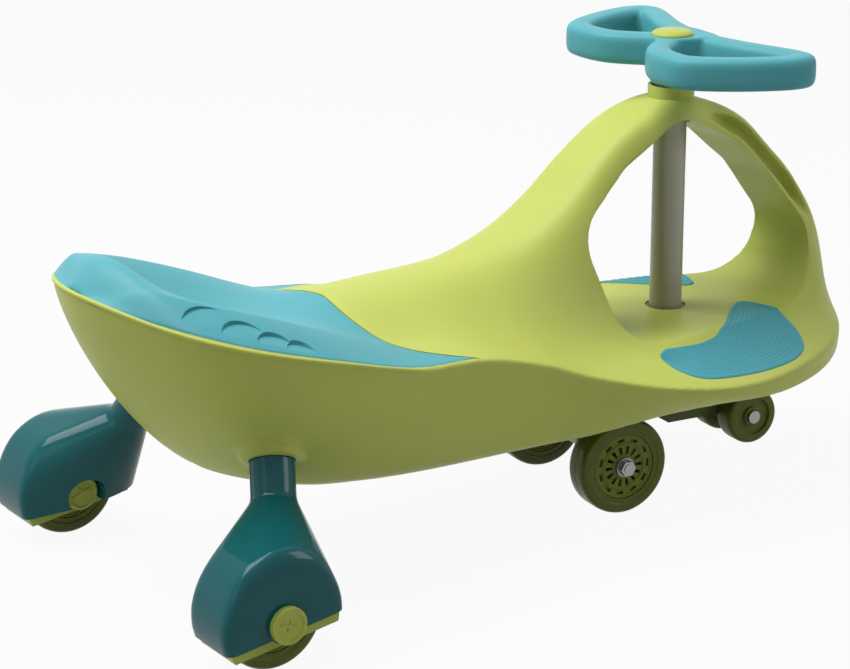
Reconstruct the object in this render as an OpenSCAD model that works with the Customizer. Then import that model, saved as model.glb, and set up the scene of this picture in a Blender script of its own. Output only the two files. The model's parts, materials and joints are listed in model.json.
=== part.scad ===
// Wiggle car: a ride-on toy that rolls forward as its steering wheel is swung from side to side.
// Millimetres, +X forward, +Y left, +Z up, ground at z = 0, origin under the middle of the body.

/* [Body shell] */
// Length of the shell from tail tip to nose tip
body_len = 715; // [700:1:730]
// Width of the shell across the footrests
deck_w = 298; // [290:1:306]
// Height of the footrest floor at the column
deck_z = 146; // [143:1:149]
// Drop from the footrest floor to the rim around it
deck_drop = 24; // [20:1:28]
// Height of the arch that carries the column
arch_z = 324; // [318:1:330]
// Height of the rim at the tail tip
tail_z = 247; // [242:1:252]
// Height of the open lower edge behind the footrests
skirt_z = 89; // [88:0.5:91]
// Wall thickness of the shell
wall = 4; // [3.5:0.25:5]
// Height of the collar above the arch
collar_h = 9; // [7:1:11]

/* [Seat cap] */
// Thickness of the seat cap
cap_t = 4; // [3:0.25:5]
// Width of the shell's rim left around the cap
cap_rim = 4; // [3:0.25:6]
// Height of the cap's side ridge over the rim at the tail
ridge_h = 23; // [20:1:26]
// Gap between a let-in piece and its pocket
let_in_gap = 0.3; // [0.25:0.05:0.5]
// Depth of the thumb recesses on the cap's flank
scallop_d = 2.5; // [2:0.25:3]

/* [Footrest pads] */
// Thickness of a pad
pad_t = 3; // [2.5:0.25:4]
// How far a pad stands above the footrest
pad_proud = 1.2; // [0.8:0.1:1.6]

/* [Rear legs] */
// Distance of the rear axle ahead of the tail tip
rear_axle_in = 65; // [62:0.5:70]
// Distance between the mid-planes of the rear wheels
rear_track = 316; // [312:1:320]
// Diameter of a leg's neck
neck_d = 34; // [32:0.5:36]
// Wall thickness of a wheel cover
cover_t = 3; // [2.5:0.25:3.5]
// Half width of a wheel cover
cover_half = 27; // [26:0.5:28]
// Wall thickness of a wheel carrier
carrier_t = 3; // [2.5:0.25:3.5]
// Drop of the cover's lower edge below the axle
edge_drop = 8; // [6:0.5:10]
// How far the carrier's lip shows below the cover
carrier_lip = 8; // [6:0.5:10]

/* [Wheels] */
// Diameter of a road wheel
wheel_d = 80; // [78:0.5:82]
// Width of a road wheel
wheel_w = 24; // [22:0.5:26]
// Diameter of the hub inside a tyre
hub_d = 54; // [50:1:56]
// Diameter of every axle
axle_d = 8; // [7:0.25:9]
// Radial clearance of every running fit
run_fit = 0.06; // [0.04:0.01:0.1]
// Slots around a hub
hub_slots = 14; // [10:1:16]
// Distance of the front axle behind the column
front_trail = 84; // [82:0.5:86]
// Distance between the mid-planes of the front wheels
front_track = 128; // [126:1:132]
// Diameter of a guard wheel
guard_d = 48; // [46:0.5:49]
// Width of a guard wheel
guard_w = 20; // [18:0.5:22]
// Height of the guard wheels over the ground
guard_lift = 20; // [18:0.5:22]
// Distance of the guard axle ahead of the column
guard_lead = 72; // [70:0.5:75]

/* [Steering] */
// Distance of the column behind the nose tip
column_in = 167; // [164:0.5:170]
// Diameter of the column
column_d = 27; // [26:0.25:28]
// Turn of the steering at rest
steer_rest = -6; // [-20:1:20]
// Height of the top of the steering wheel over the arch
steer_rise = 50; // [47:1:54]
// Thickness of the steering wheel
steer_t = 26; // [24:1:28]
// Half span of the steering wheel
steer_span = 130; // [124:1:134]
// Radius of the hand loops' bars
bar_r = 11; // [10:0.25:12]
// Diameter of the cap on the steering wheel
boss_cap_d = 34; // [32:1:36]
// Height of the yoke's top
yoke_top = 84; // [83:0.5:86]

/* [Hidden] */
$fn = 48;
STATIONS = 56;
ACROSS = 22;
SIDE = 5;

half_len = body_len / 2;
column_x = half_len - column_in;
steer_top = arch_z + steer_rise;
rim_low = deck_z - deck_drop;
lift = arch_z - rim_low;
wheel_r = wheel_d / 2;
axle_r = axle_d / 2;
column_r = column_d / 2;
bush_r = column_r + 3;
rear_x = rear_axle_in - half_len;
rear_y = rear_track / 2;
bearing_r = axle_r + 4;
bearing_w = 7;
hub_r = hub_d / 2;

// Fullness of the plan outline against an ellipse, tail to nose
FULL = [
    [-1, 1.25], [-0.92, 1.46], [-0.82, 1.39], [-0.6, 1.13], [-0.4, 0.95], [-0.22, 0.84], [-0.06, 0.8],
    [0.07, 0.84], [0.27, 1], [0.46, 1.13], [0.69, 1.15], [0.86, 1.12], [1, 1.03]
];
// Rim height as a share of the rise from footrest to tail
RIM = [
    [-1, 1], [-0.92, 0.91], [-0.82, 0.82], [-0.6, 0.65], [-0.4, 0.5], [-0.22, 0.45], [-0.06, 0.33],
    [0.07, 0.19], [0.27, 0.05], [0.46, 0], [1, 0]
];
// Height of the seat, saddle and arch along the middle, as a share of the arch
SPINE = [
    [-1, 0.62], [-0.92, 0.72], [-0.85, 0.63], [-0.776, 0.485], [-0.68, 0.426], [-0.57, 0.411],
    [-0.45, 0.426], [-0.39, 0.44], [-0.1, 0.475], [0.03, 0.53], [0.11, 0.59], [0.19, 0.685], [0.27, 0.81],
    [0.345, 0.908], [0.42, 0.97], [0.5, 1], [0.58, 0.992], [0.7, 0.9], [0.79, 0.755], [0.87, 0.6],
    [0.965, 0.32], [1, 0]
];
// Fullness of the lower edge, along its own length
SKIRT = [
    [-1, 0.95], [-0.9, 0.98], [-0.75, 0.85], [-0.4, 0.7], [-0.1, 0.68], [0.15, 0.76], [0.45, 1.03],
    [0.65, 1.08], [0.85, 1.05], [1, 1]
];
skirt_back = -half_len + 118;
skirt_front = half_len - 5;

// Window under the arch, as circles [x from the column, height over the floor, radius]
window_k = (arch_z - deck_z) / 178;
WINDOW = [
    for (c = [[-78, 75, 40], [-71, 38, 38], [87, 38, 38], [52, 77, 43], [-12, 128, 36]])
        [column_x + c[0], c[1] * window_k, c[2] * window_k]
];

// Footrest pad, inner and outer edge [x from the column, share of the deck's half width]
PAD_IN = [
    [-85.5, 0.664], [-74.5, 0.621], [-58.5, 0.617], [-37.5, 0.614], [-16.5, 0.577], [3.5, 0.483],
    [21.5, 0.369], [41.5, 0.245], [57.5, 0.18]
];
PAD_OUT = [
    [-86.5, 0.718], [-82.5, 0.812], [-69.5, 0.895], [-44.5, 0.925], [-6.5, 0.915], [34.5, 0.84],
    [60.5, 0.72], [71.5, 0.51], [67.5, 0.26]
];

// Bars of one hand loop, from the hub round and back
LOOP = [[22, 14], [31, 50], [48, 100], [36, 112], [0, 102], [-34, 82], [-42, 64], [-36, 34], [-8, 8]];

function clamp01(v) = min(max(v, 0), 1);
function smooth(a, b, v) = let (u = clamp01((v - a) / (b - a))) u * u * (3 - 2 * u);
function seg(t, x, i = 0) = (i >= len(t) - 2 || x < t[i + 1][0]) ? i : seg(t, x, i + 1);
function slope(t, i) =
    let (a = max(i - 1, 0), b = min(i + 1, len(t) - 1))
    (t[b][1] - t[a][1]) / (t[b][0] - t[a][0]);
function curve(t, x) =
    let (i = seg(t, x), h = t[i + 1][0] - t[i][0], u = clamp01((x - t[i][0]) / h))
    t[i][1] * (1 + 2 * u) * (1 - u) * (1 - u)
    + t[i + 1][1] * u * u * (3 - 2 * u)
    + slope(t, i) * h * u * (1 - u) * (1 - u)
    - slope(t, i + 1) * h * u * u * (1 - u);
function along(path, u) =
    let (n = len(path) - 1, i = max(min(floor(u * n), n - 1), 0), v = u * n - i)
    let (a = path[max(i - 1, 0)], b = path[i], c = path[i + 1], d = path[min(i + 2, n)])
    b * (1 + 2 * v) * (1 - v) * (1 - v) + c * v * v * (3 - 2 * v)
    + (c - a) / 2 * v * (1 - v) * (1 - v) - (d - b) / 2 * v * v * (1 - v);

// Half width of the shell and height of its rim at a share f of its half length
function half_w(f) = deck_w / 2 * curve(FULL, f) * sqrt(max(1 - f * f, 0));
function rim_at(f) = rim_low + (tail_z - rim_low) * curve(RIM, f);
function spine_at(f) = rim_low + lift * curve(SPINE, f);

// Section of the seat and of the saddle, deck and arch, at a share t of the half width
function seat_z(f, t) =
    let (ridge = ridge_h * (1 - smooth(-0.85, -0.25, f) * 0.75) * smooth(-1, -0.9, f))
    let (top = rim_at(f) + ridge, mid = rim_at(f) + (spine_at(f) - rim_at(f)) * smooth(-1, -0.985, f))
    t > 0.7
        ? top - (top - rim_at(f)) * pow((t - 0.7) / 0.3, 1.35)
        : mid + (top - mid) * smooth(0.05, 0.8, t) / smooth(0.05, 0.8, 0.7);
function bell(t, t0, n) =
    let (c = 1 / (1 + pow(1 / t0, n)))
    (1 / (1 + pow(t / t0, n)) - c) / (1 - c);
function saddle_z(f, t) =
    let (a = smooth(-0.1, 0.35, f), t0 = 0.58 - 0.25 * a + 0.2 * smooth(0.75, 0.97, f), n = 2.6 + 3.6 * a)
    let (rise = spine_at(f) - rim_at(f), crown = min(deck_drop, rise) * a)
    rim_at(f) + crown * (1 - pow(t, 2.2)) + (rise - crown) * bell(t, t0, n);
function top_z(f, t) =
    let (k = smooth(-0.42, -0.2, f))
    seat_z(f, t) * (1 - k) + saddle_z(f, t) * k;
function skin_z(x, y) =
    let (f = x / half_len)
    top_z(f, clamp01(abs(y) / max(half_w(f), 0.01)));

// Lower edge of the shell at a station share f
function skirt_x(f) = skirt_back + (skirt_front - skirt_back) * (f + 1) / 2;
function skirt_w(f) = deck_w / 2 * curve(SKIRT, f) * sqrt(max(1 - f * f, 0));
function skirt_h(f) = skirt_z + (rim_low - 18 - skirt_z) * smooth(-0.1, 0.4, f);
function bulge(v) = 0.5 * (1 - sqrt(max(1 - v * v, 0))) + 0.5 * pow(v, 1.3);

// Flank point between rim and lower edge, v from 0 to 1 downwards
function flank(f, side, v, inset) =
    let (h = bulge(v), x0 = f * half_len, w0 = half_w(f), w1 = skirt_w(f))
    [
        x0 + (skirt_x(f) - x0) * h,
        side * max(w0 + (w1 - w0) * h - inset, 0),
        rim_at(f) + (skirt_h(f) - rim_at(f)) * v
    ];

function shell_ring(f) = concat(
    [for (j = [0 : ACROSS])
        let (s = 2 * j / ACROSS - 1, t = sign(s) * pow(abs(s), 1.15))
        [f * half_len, t * half_w(f), top_z(f, abs(t))]],
    [for (k = [1 : SIDE]) flank(f, 1, k / SIDE, 0)],
    [for (k = [SIDE : -1 : 1]) flank(f, -1, k / SIDE, 0)]
);

// Room inside the shell: follows the top one wall lower and stays below the solid arch
function room_top(f, y) =
    let (w = half_w(f), under = wall + (cap_t + let_in_gap + 1) * (1 - smooth(-0.2, -0.08, f)))
    min(
        top_z(f, clamp01((abs(y) + wall) / w)) - under,
        deck_z - wall + 300 * (1 - smooth(-0.12, 0.12, f)),
        rim_at(f) + 300 * (1 - smooth(0.62, 0.8, f))
    );
shrink = 1 - 2 * wall / half_len;
function inward(p) = [p[0] * shrink, p[1], p[2]];
function room_ring(f) =
    let (w = half_w(f) - wall, g = f * shrink)
    concat(
        [for (j = [0 : 14]) let (y = (j / 7 - 1) * w) [g * half_len, y, room_top(g, y)]],
        [for (k = [1 : 4]) inward(flank(f, 1, k / 4, wall))],
        [inward(flank(f, 1, 1, wall)) - [0, 0, 40]],
        [inward(flank(f, -1, 1, wall)) - [0, 0, 40]],
        [for (k = [4 : -1 : 1]) inward(flank(f, -1, k / 4, wall))]
    );

module skin(rings, cap_a = false, cap_b = false) {
    n = len(rings[0]);
    m = len(rings);
    faces = concat(
        [for (i = [0 : m - 2], j = [0 : n - 1]) [i * n + j, i * n + (j + 1) % n, (i + 1) * n + j]],
        [for (i = [0 : m - 2], j = [0 : n - 1])
            [i * n + (j + 1) % n, (i + 1) * n + (j + 1) % n, (i + 1) * n + j]],
        cap_a ? [[for (j = [n - 1 : -1 : 0]) j]] : [],
        cap_b ? [[for (j = [0 : n - 1]) (m - 1) * n + j]] : []
    );
    polyhedron([for (r = rings) for (p = r) p], faces, convexity = 10);
}

module shell_solid() {
    skin([for (i = [0 : STATIONS]) shell_ring(-cos(180 * i / STATIONS))]);
}

module shell_room() {
    skin([for (i = [0 : 42]) room_ring(-cos(6 + 168 * i / 42))], true, true);
}

module window() {
    translate([0, deck_w / 2, deck_z])
        rotate([90, 0, 0])
            linear_extrude(deck_w)
                hull()
                    for (c = WINDOW)
                        translate([c[0], c[1]])
                            circle(c[2]);
}

module mirrored() {
    children();
    mirror([0, 1, 0])
        children();
}

// Scoop along each side of the arch's front leg, under the edge of its top
scoop_from = column_x + 17.5;
scoop_to = column_x + 131.5;
scoop_y = 36.8;
module scoop() {
    steps = 10;
    for (i = [0 : steps - 1])
        hull()
            for (u = [i / steps, (i + 1) / steps])
                scoop_ball(scoop_from + (scoop_to - scoop_from) * u);
}

module scoop_ball(x) {
    z = spine_at(x / half_len);
    lean = atan(spine_at((x + 2) / half_len) - z) / 2 + atan(z - spine_at((x - 2) / half_len)) / 2;
    translate([x, -scoop_y, z])
        rotate([0, -lean, 0])
            translate([0, 0, -11.5])
                scale([1, 1.6, 0.6])
                    sphere(11, $fn = 16);
}

// Leg socket: a frame at the ring, z down along the neck
module at_socket(side) {
    translate([rear_x + 42, side * (rear_y - 60), 120])
        rotate([0, 0, side * 118.4])
            rotate([0, 180 - 35.4, 0])
                rotate([0, 0, 180])
                    children();
}

module socket_wall(side) {
    at_socket(side)
        translate([0, 0, -44])
            cylinder(r = neck_d / 2 + 5.8, h = 50);
}

module socket_bore(side) {
    at_socket(side) {
        translate([0, 0, -40])
            cylinder(r = neck_d / 2 + let_in_gap, h = 60);
        translate([0, 0, -60])
            cylinder(r = 3.2, h = 40);
    }
}

module column_bore(r, z0, z1) {
    translate([column_x, 0, z0])
        cylinder(r = r, h = z1 - z0);
}

boss_z = yoke_top + 4.3;
arch_low = deck_z + WINDOW[4][1] + WINDOW[4][2];

module body_shell() {
    color("yellowgreen")
        difference() {
            union() {
                difference() {
                    shell_solid();
                    shell_room();
                    window();
                }
                column_bore(column_r + 5.5, arch_z - 10, arch_z + collar_h);
                column_bore(column_r + 7.5, boss_z, deck_z - 1);
                intersection() {
                    shell_solid();
                    deck_ribs();
                }
                for (side = [-1, 1])
                    intersection() {
                        socket_wall(side);
                        translate([rear_x - 60, -deck_w / 2, 60])
                            cube([200, deck_w, 122]);
                    }
            }
            mirrored()
                scoop();
            for (side = [-1, 1])
                socket_bore(side);
            column_bore(bush_r + let_in_gap, boss_z - 1, arch_z + collar_h + 1);
            seat_block(let_in_gap, cap_t + let_in_gap, 30);
            mirrored()
                pad_block(let_in_gap, pad_t - pad_proud + let_in_gap, 6);
            for (p = SCREWS)
                translate([p[0], p[1], screw_z(p) - 4])
                    cylinder(r = screw_r + 0.1, h = 40, $fn = 24);
        }
}

module deck_ribs() {
    for (a = [45 : 90 : 315])
        hull() {
            translate([column_x, 0, boss_z + 20])
                rotate([0, 0, a])
                    translate([column_r + 5, -1.5, 0])
                        cube([2, 3, deck_z - boss_z - 22]);
            translate([column_x, 0, deck_z - 12])
                rotate([0, 0, a])
                    translate([96, -1.5, 0])
                        cube([2, 3, 8]);
        }
}

// Front edge of the seat cap in plan, as shares of the half length and half width
CAP_EDGE = [[-0.229, 1], [-0.291, 0.9], [-0.364, 0.75], [-0.403, 0.6], [-0.42, 0.3], [-0.408, 0]];
module cap_plan() {
    tail = [for (i = [2 : 1 : 32]) -1 + 0.77 * pow(i / 32, 2)];
    edge = [for (i = [0 : 12]) along(CAP_EDGE, i / 12)];
    rim = [for (f = tail) [f * half_len, max(half_w(f) - cap_rim, 1)]];
    front = [for (p = edge) [p[0] * half_len, p[1] * (half_w(p[0]) - cap_rim)]];
    right = concat([[-half_len + cap_rim, 0]], [for (p = rim) if (p[0] > -half_len + cap_rim + 1) p], front);
    polygon(concat([for (p = right) [p[0], -p[1]]], [for (i = [len(right) - 2 : -1 : 1]) right[i]]));
}

function cap_ring(f, below, above) = concat(
    [for (j = [0 : ACROSS])
        let (s = 2 * j / ACROSS - 1, t = sign(s) * pow(abs(s), 1.15))
        [f * half_len, t * half_w(f), top_z(f, abs(t)) + above]],
    [for (j = [ACROSS : -1 : 0])
        let (s = 2 * j / ACROSS - 1, t = sign(s) * pow(abs(s), 1.15))
        [f * half_len, t * half_w(f), top_z(f, abs(t)) - below]]
);

module seat_block(grow, below, above) {
    intersection() {
        skin([for (i = [1 : 25]) cap_ring(-cos(180 * i / STATIONS), below, above)], true, true);
        translate([0, 0, 120])
            linear_extrude(200)
                offset(delta = grow)
                    cap_plan();
    }
}

// Thumb recesses on the cap [shares of half length and half width, radius, heading of the deep side]
SCALLOPS = [[-0.838, 0.85, 19, 15], [-0.78, 0.88, 16, 10], [-0.722, 0.9, 13.5, 8], [-0.67, 0.915, 11, 6]];
module scallop(p) {
    x = p[0] * half_len;
    y = p[1] * half_w(p[0]);
    z = skin_z(x, y);
    dy = (skin_z(x, y + 1) - skin_z(x, y - 1)) / 2;
    dx = (skin_z(x + 1, y) - skin_z(x - 1, y)) / 2;
    translate([x, y, z])
        rotate([atan(dy), -atan(dx), 0])
            rotate([0, 0, p[3]])
                rotate([asin(scallop_d / p[2]), 0, 0])
                    hull() {
                        cylinder(r = p[2], h = 1);
                        translate([0, 0, 12])
                            cylinder(r = p[2] + 4, h = 1);
                    }
}

// Screws that hold the cap from inside the shell
SCREWS = [for (s = [-1, 1], p = [[-0.828, 0.45], [-0.56, 0.58]]) [p[0] * half_len, s * p[1] * half_w(p[0])]];
screw_r = 2.2;
function screw_z(p) = room_top(p[0] / half_len, p[1]) - 3.7;
function screw_h(p) = skin_z(p[0], p[1]) - 2.2 - screw_z(p);

module seat_cap() {
    color("cadetblue")
        difference() {
            seat_block(0, cap_t, 0);
            mirrored()
                for (p = SCALLOPS)
                    scallop(p);
            for (p = SCREWS)
                translate([p[0], p[1], screw_z(p)])
                    cylinder(r = screw_r + 0.1, h = screw_h(p) + 0.2, $fn = 24);
        }
}

module seat_screws() {
    color("silver")
        for (p = SCREWS)
            translate([p[0], p[1], screw_z(p)]) {
                cylinder(r = screw_r, h = screw_h(p));
                translate([0, 0, -3])
                    cylinder(r = 2 * screw_r, h = 3);
            }
}

// Footrest surface: the shell's skin, or the window's floor where that lies lower
function floor_z(x) =
    let (a = WINDOW[1], b = WINDOW[2], d = max(a[0] - x, x - b[0], 0))
    deck_z + a[1] - sqrt(max(a[2] * a[2] - d * d, 1));
function foot_z(x, y) = min(skin_z(x, y), floor_z(x));

function pad_place(p) = [column_x + p[0], p[1] * deck_w / 2];
function pad_ring(u, grow, below, above) =
    let (a = pad_place(along(PAD_IN, u)), b = pad_place(along(PAD_OUT, u)))
    let (n = (b - a) / norm(b - a) * grow, p = [for (j = [0 : 10]) a - n + (b - a + 2 * n) * j / 10])
    concat(
        [for (j = [10 : -1 : 0]) [p[j][0], -p[j][1], foot_z(p[j][0], p[j][1]) + above]],
        [for (q = p) [q[0], -q[1], foot_z(q[0], q[1]) - below]]
    );

module pad_block(grow, below, above) {
    e = grow / 130;
    skin([for (i = [0 : 20]) pad_ring(-e + (1 + 2 * e) * i / 20, grow, below, above)], true, true);
}

module footrest_pad_right() {
    color("teal")
        pad_block(0, pad_t - pad_proud, pad_proud);
}

module footrest_pad_left() {
    color("teal")
        mirror([0, 1, 0])
            pad_block(0, pad_t - pad_proud, pad_proud);
}

module upper_column_bush() {
    color("dimgray")
        difference() {
            column_bore(bush_r, arch_low + 2, arch_z + collar_h - 1);
            column_bore(column_r + run_fit, arch_low, arch_z + collar_h);
        }
}

module lower_column_bush() {
    color("dimgray")
        difference() {
            column_bore(bush_r, boss_z, deck_z - 1);
            column_bore(column_r + run_fit, boss_z - 1, deck_z);
        }
}

// Rear wheel place, and shapes lying along its axle
module at_rear(side) {
    translate([rear_x, side * rear_y, wheel_r])
        children();
}

module disc(r, half) {
    rotate([90, 0, 0])
        cylinder(r = r, h = 2 * half, center = true);
}

module below_edge(drop) {
    rotate([0, -9, 0])
        translate([-120, -80, -160 - edge_drop - drop])
            cube([240, 160, 160]);
}

module lugs(r, inner, outer) {
    for (s = [-1, 1])
        translate([0, s * (inner + outer) / 2, 0])
            disc(r, (outer - inner) / 2);
}

cover_r = wheel_r + 9;
shoulder = 7;
cover_in = cover_half - cover_t;
drum_r = wheel_r + 5.5;
drum_half = cover_in - let_in_gap;
axle_hole = axle_r + 0.1;

module rear_leg(side) {
    color("darkcyan")
        difference() {
            union() {
                difference() {
                    union() {
                        hull() {
                            at_socket(side)
                                translate([0, 0, 30])
                                    cylinder(r = neck_d / 2, h = 2);
                            at_rear(side) {
                                disc(cover_r, cover_half - 7);
                                disc(cover_r - 5, cover_half);
                                translate([0, 0, shoulder])
                                    disc(cover_r - 4, cover_half - 4);
                            }
                        }
                        at_socket(side)
                            translate([0, 0, -40 + let_in_gap])
                                cylinder(r = neck_d / 2, h = 76);
                    }
                    at_rear(side) {
                        disc(drum_r + let_in_gap, cover_in);
                        below_edge(0);
                    }
                }
                at_rear(side)
                    lugs(15, cover_in, cover_half);
            }
            at_rear(side) {
                disc(axle_hole, 60);
                lugs(15, cover_half, cover_half + 30);
            }
            at_socket(side)
                translate([0, 0, -41])
                    cylinder(r = 3.1, h = 26);
        }
}

module rear_leg_right() {
    rear_leg(-1);
}

module rear_leg_left() {
    rear_leg(1);
}

module leg_screws() {
    color("silver")
        for (side = [-1, 1])
            at_socket(side) {
                translate([0, 0, -50])
                    cylinder(r = 3, h = 34);
                translate([0, 0, -50])
                    cylinder(r = 6, h = 5.7);
            }
}

module wheel_carrier(side) {
    color("olivedrab")
        at_rear(side)
            difference() {
                union() {
                    difference() {
                        disc(drum_r, drum_half);
                        disc(drum_r - carrier_t, drum_half - carrier_t);
                        below_edge(carrier_lip);
                    }
                    lugs(14.5, drum_half - carrier_t, drum_half);
                }
                disc(axle_hole, 60);
            }
}

module wheel_carrier_right() {
    wheel_carrier(-1);
}

module wheel_carrier_left() {
    wheel_carrier(1);
}

// Tube on an axle between two distances from the wheel's middle
module spacer(inner, outer) {
    for (s = [-1, 1])
        translate([0, s * (inner + outer) / 2, 0])
            difference() {
                disc(axle_r + 2.5, (outer - inner) / 2);
                disc(axle_r + 0.05, outer);
            }
}

side_gap = 0.4;

module rear_spacers() {
    color("silver")
        for (side = [-1, 1])
            at_rear(side)
                spacer(wheel_w / 2 + side_gap, drum_half - carrier_t);
}

nut_h = 3.2;

module rear_axle(side) {
    color("silver")
        at_rear(side) {
            disc(axle_r, cover_half + nut_h);
            for (s = [-1, 1])
                translate([0, s * (cover_half + nut_h / 2), 0])
                    rotate([90, 0, 0])
                        cylinder(r = axle_r + 2.4, h = nut_h, center = true, $fn = 6);
        }
}

module rear_axle_right() {
    rear_axle(-1);
}

module rear_axle_left() {
    rear_axle(1);
}

module axle_caps(side) {
    color("yellowgreen")
        at_rear(side)
            for (s = [-1, 1])
                difference() {
                    translate([0, s * (cover_half + 2.75), 0])
                        disc(14, 2.75);
                    translate([0, s * cover_half, 0])
                        disc(axle_r + 3, nut_h + let_in_gap);
                    translate([0, s * (cover_half + 5.5), 0])
                        cube([17, 2, 4], center = true);
                }
}

module axle_caps_right() {
    axle_caps(-1);
}

module axle_caps_left() {
    axle_caps(1);
}

// Road wheel parts around the origin, axle along Y
edge_r = 7;

module tyre() {
    color("darkolivegreen")
        rotate([90, 0, 0])
            rotate_extrude($fn = 72)
                difference() {
                    union() {
                        translate([hub_r, -wheel_w / 2])
                            square([wheel_r - edge_r - hub_r, wheel_w]);
                        translate([hub_r, edge_r - wheel_w / 2])
                            square([wheel_r - hub_r, wheel_w - 2 * edge_r]);
                        for (s = [-1, 1])
                            translate([wheel_r - edge_r, s * (wheel_w / 2 - edge_r)])
                                circle(edge_r);
                    }
                    translate([0, -wheel_w])
                        square([hub_r, 2 * wheel_w]);
                }
}

module hub() {
    color("olive")
        difference() {
            disc(hub_r - 0.05, wheel_w / 2 - 1.5);
            disc(bearing_r + 0.05, wheel_w);
            for (i = [0 : hub_slots - 1])
                rotate([0, 360 * i / hub_slots, 0])
                    translate([bearing_r + 5.5, 0, 0])
                        cube([7, 2 * wheel_w, 3], center = true);
        }
}

module bearings() {
    color("silver")
        for (s = [-1, 1])
            translate([0, s * (wheel_w / 2 - bearing_w / 2), 0])
                difference() {
                    disc(bearing_r, bearing_w / 2);
                    disc(axle_r + run_fit, bearing_w);
                }
}

module rear_tyre_right() {
    at_rear(-1)
        tyre();
}

module rear_tyre_left() {
    at_rear(1)
        tyre();
}

module rear_hub_right() {
    at_rear(-1)
        hub();
}

module rear_hub_left() {
    at_rear(1)
        hub();
}

module rear_bearings_right() {
    at_rear(-1)
        bearings();
}

module rear_bearings_left() {
    at_rear(1)
        bearings();
}

// Everything that turns with the column is placed in its frame, x along the yoke
module steered() {
    translate([column_x, 0, 0])
        rotate([0, 0, steer_rest])
            children();
}

steer_low = steer_top - steer_t;
socket_top = steer_top - 12;
column_low = 58;
cap_sink = 3;

module puck() {
    rotate_extrude($fn = 24)
        intersection() {
            union() {
                square([bar_r - 6, steer_t]);
                translate([0, 7])
                    square([bar_r, steer_t - 14]);
                for (h = [7, steer_t - 7])
                    translate([bar_r - 6, h])
                        scale([6, 7])
                            circle(1, $fn = 16);
            }
            square([bar_r, steer_t]);
        }
}

module hand_loop() {
    k = steer_span / 123;
    for (i = [0 : len(LOOP) - 2])
        hull()
            for (p = [LOOP[i], LOOP[i + 1]])
                translate([p[0], p[1] * k, steer_low])
                    puck();
}

module steering_wheel() {
    color("cadetblue")
        steered()
            difference() {
                union() {
                    mirrored()
                        hand_loop();
                    hull()
                        mirrored()
                            for (p = [LOOP[0], LOOP[8]])
                                translate([p[0], p[1], steer_low])
                                    puck();
                    translate([0, 0, arch_z + collar_h + 1.5])
                        cylinder(r = column_r + 4, h = steer_top - arch_z - collar_h - 2.5);
                }
                translate([0, 0, arch_z])
                    cylinder(r = column_r + 0.1, h = socket_top - arch_z, $fn = 96);
                translate([0, 0, arch_z])
                    cylinder(r = 4.2, h = steer_rise + 20);
                translate([0, 0, steer_top - cap_sink])
                    cylinder(r = boss_cap_d / 2 + let_in_gap, h = 20);
            }
}

module steering_cap() {
    color("yellowgreen")
        steered()
            translate([0, 0, steer_top - cap_sink + 0.1]) {
                difference() {
                    cylinder(r = boss_cap_d / 2, h = cap_sink + 2.4);
                    translate([0, 0, -1])
                        cylinder(r = 8, h = 5);
                }
                translate([0, 0, cap_sink + 2])
                    cylinder(r1 = boss_cap_d / 2 - 0.5, r2 = boss_cap_d / 2 - 4, h = 2.4);
            }
}

module steering_bolt() {
    color("silver")
        steered() {
            translate([0, 0, socket_top - 40])
                cylinder(r = 4, h = steer_top - cap_sink - socket_top + 41);
            translate([0, 0, steer_top - cap_sink + 0.1])
                cylinder(r = 7, h = 3.4, $fn = 6);
        }
}

module steering_column() {
    color("gainsboro")
        steered()
            difference() {
                translate([0, 0, column_low])
                    cylinder(r = column_r, h = socket_top - column_low - 0.1);
                translate([0, 0, column_low - 1])
                    cylinder(r = column_r - 3, h = socket_top - column_low - 44);
                translate([0, 0, socket_top - 60])
                    cylinder(r = 4.05, h = 80);
                translate([0, 0, column_low + 12])
                    disc(3.1, 40);
            }
}

module thrust_washer() {
    color("silver")
        steered()
            translate([0, 0, yoke_top + 2.1])
                difference() {
                    cylinder(r = column_r + 7, h = 2);
                    translate([0, 0, -1])
                        cylinder(r = column_r + 0.1, h = 4);
                }
}

cheek_out = front_track / 2 - wheel_w / 2 - 2;
cheek_in = cheek_out - 11;
guard_half = 10;
guard_z = guard_d / 2 + guard_lift;
guard_y = guard_half + side_gap + guard_w / 2;

module yoke() {
    color("olivedrab")
        steered()
            difference() {
                union() {
                    translate([0, 0, column_low - 2])
                        cylinder(r = column_r + 11, h = yoke_top + 4 - column_low);
                    translate([-front_trail - 12, -cheek_out, yoke_top - 16])
                        cube([24, 2 * cheek_out, 16]);
                    translate([-front_trail, -16, yoke_top - 16])
                        cube([front_trail, 32, 16]);
                    for (s = [-1, 1])
                        translate([-front_trail, s * (cheek_in + cheek_out) / 2, wheel_r]) {
                            disc(12, (cheek_out - cheek_in) / 2);
                            translate([0, 0, (yoke_top - wheel_r) / 2])
                                cube([24, cheek_out - cheek_in, yoke_top - wheel_r], center = true);
                        }
                    translate([0, -guard_half, guard_z])
                        cube([guard_lead + 10, 2 * guard_half, yoke_top - guard_z]);
                    translate([guard_lead, 0, guard_z])
                        disc(10, guard_half);
                }
                translate([0, 0, column_low])
                    cylinder(r = column_r + 0.1, h = 60);
                translate([0, 0, column_low + 12])
                    disc(3.1, 40);
                translate([-front_trail, 0, wheel_r])
                    disc(axle_hole, 80);
                translate([guard_lead, 0, guard_z])
                    disc(axle_r - 1 + 0.1, 40);
            }
}

module yoke_bolt() {
    color("silver")
        steered()
            translate([0, 0, column_low + 12]) {
                disc(3, column_r + 12);
                for (s = [-1, 1])
                    translate([0, s * (column_r + 13), 0])
                        disc(5.5, 2);
            }
}

module at_front(side) {
    steered()
        translate([-front_trail, side * front_track / 2, wheel_r])
            children();
}

module front_axle() {
    color("silver")
        steered()
            translate([-front_trail, 0, wheel_r])
                disc(axle_r, front_track / 2 + wheel_w / 2 + 6);
}

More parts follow.
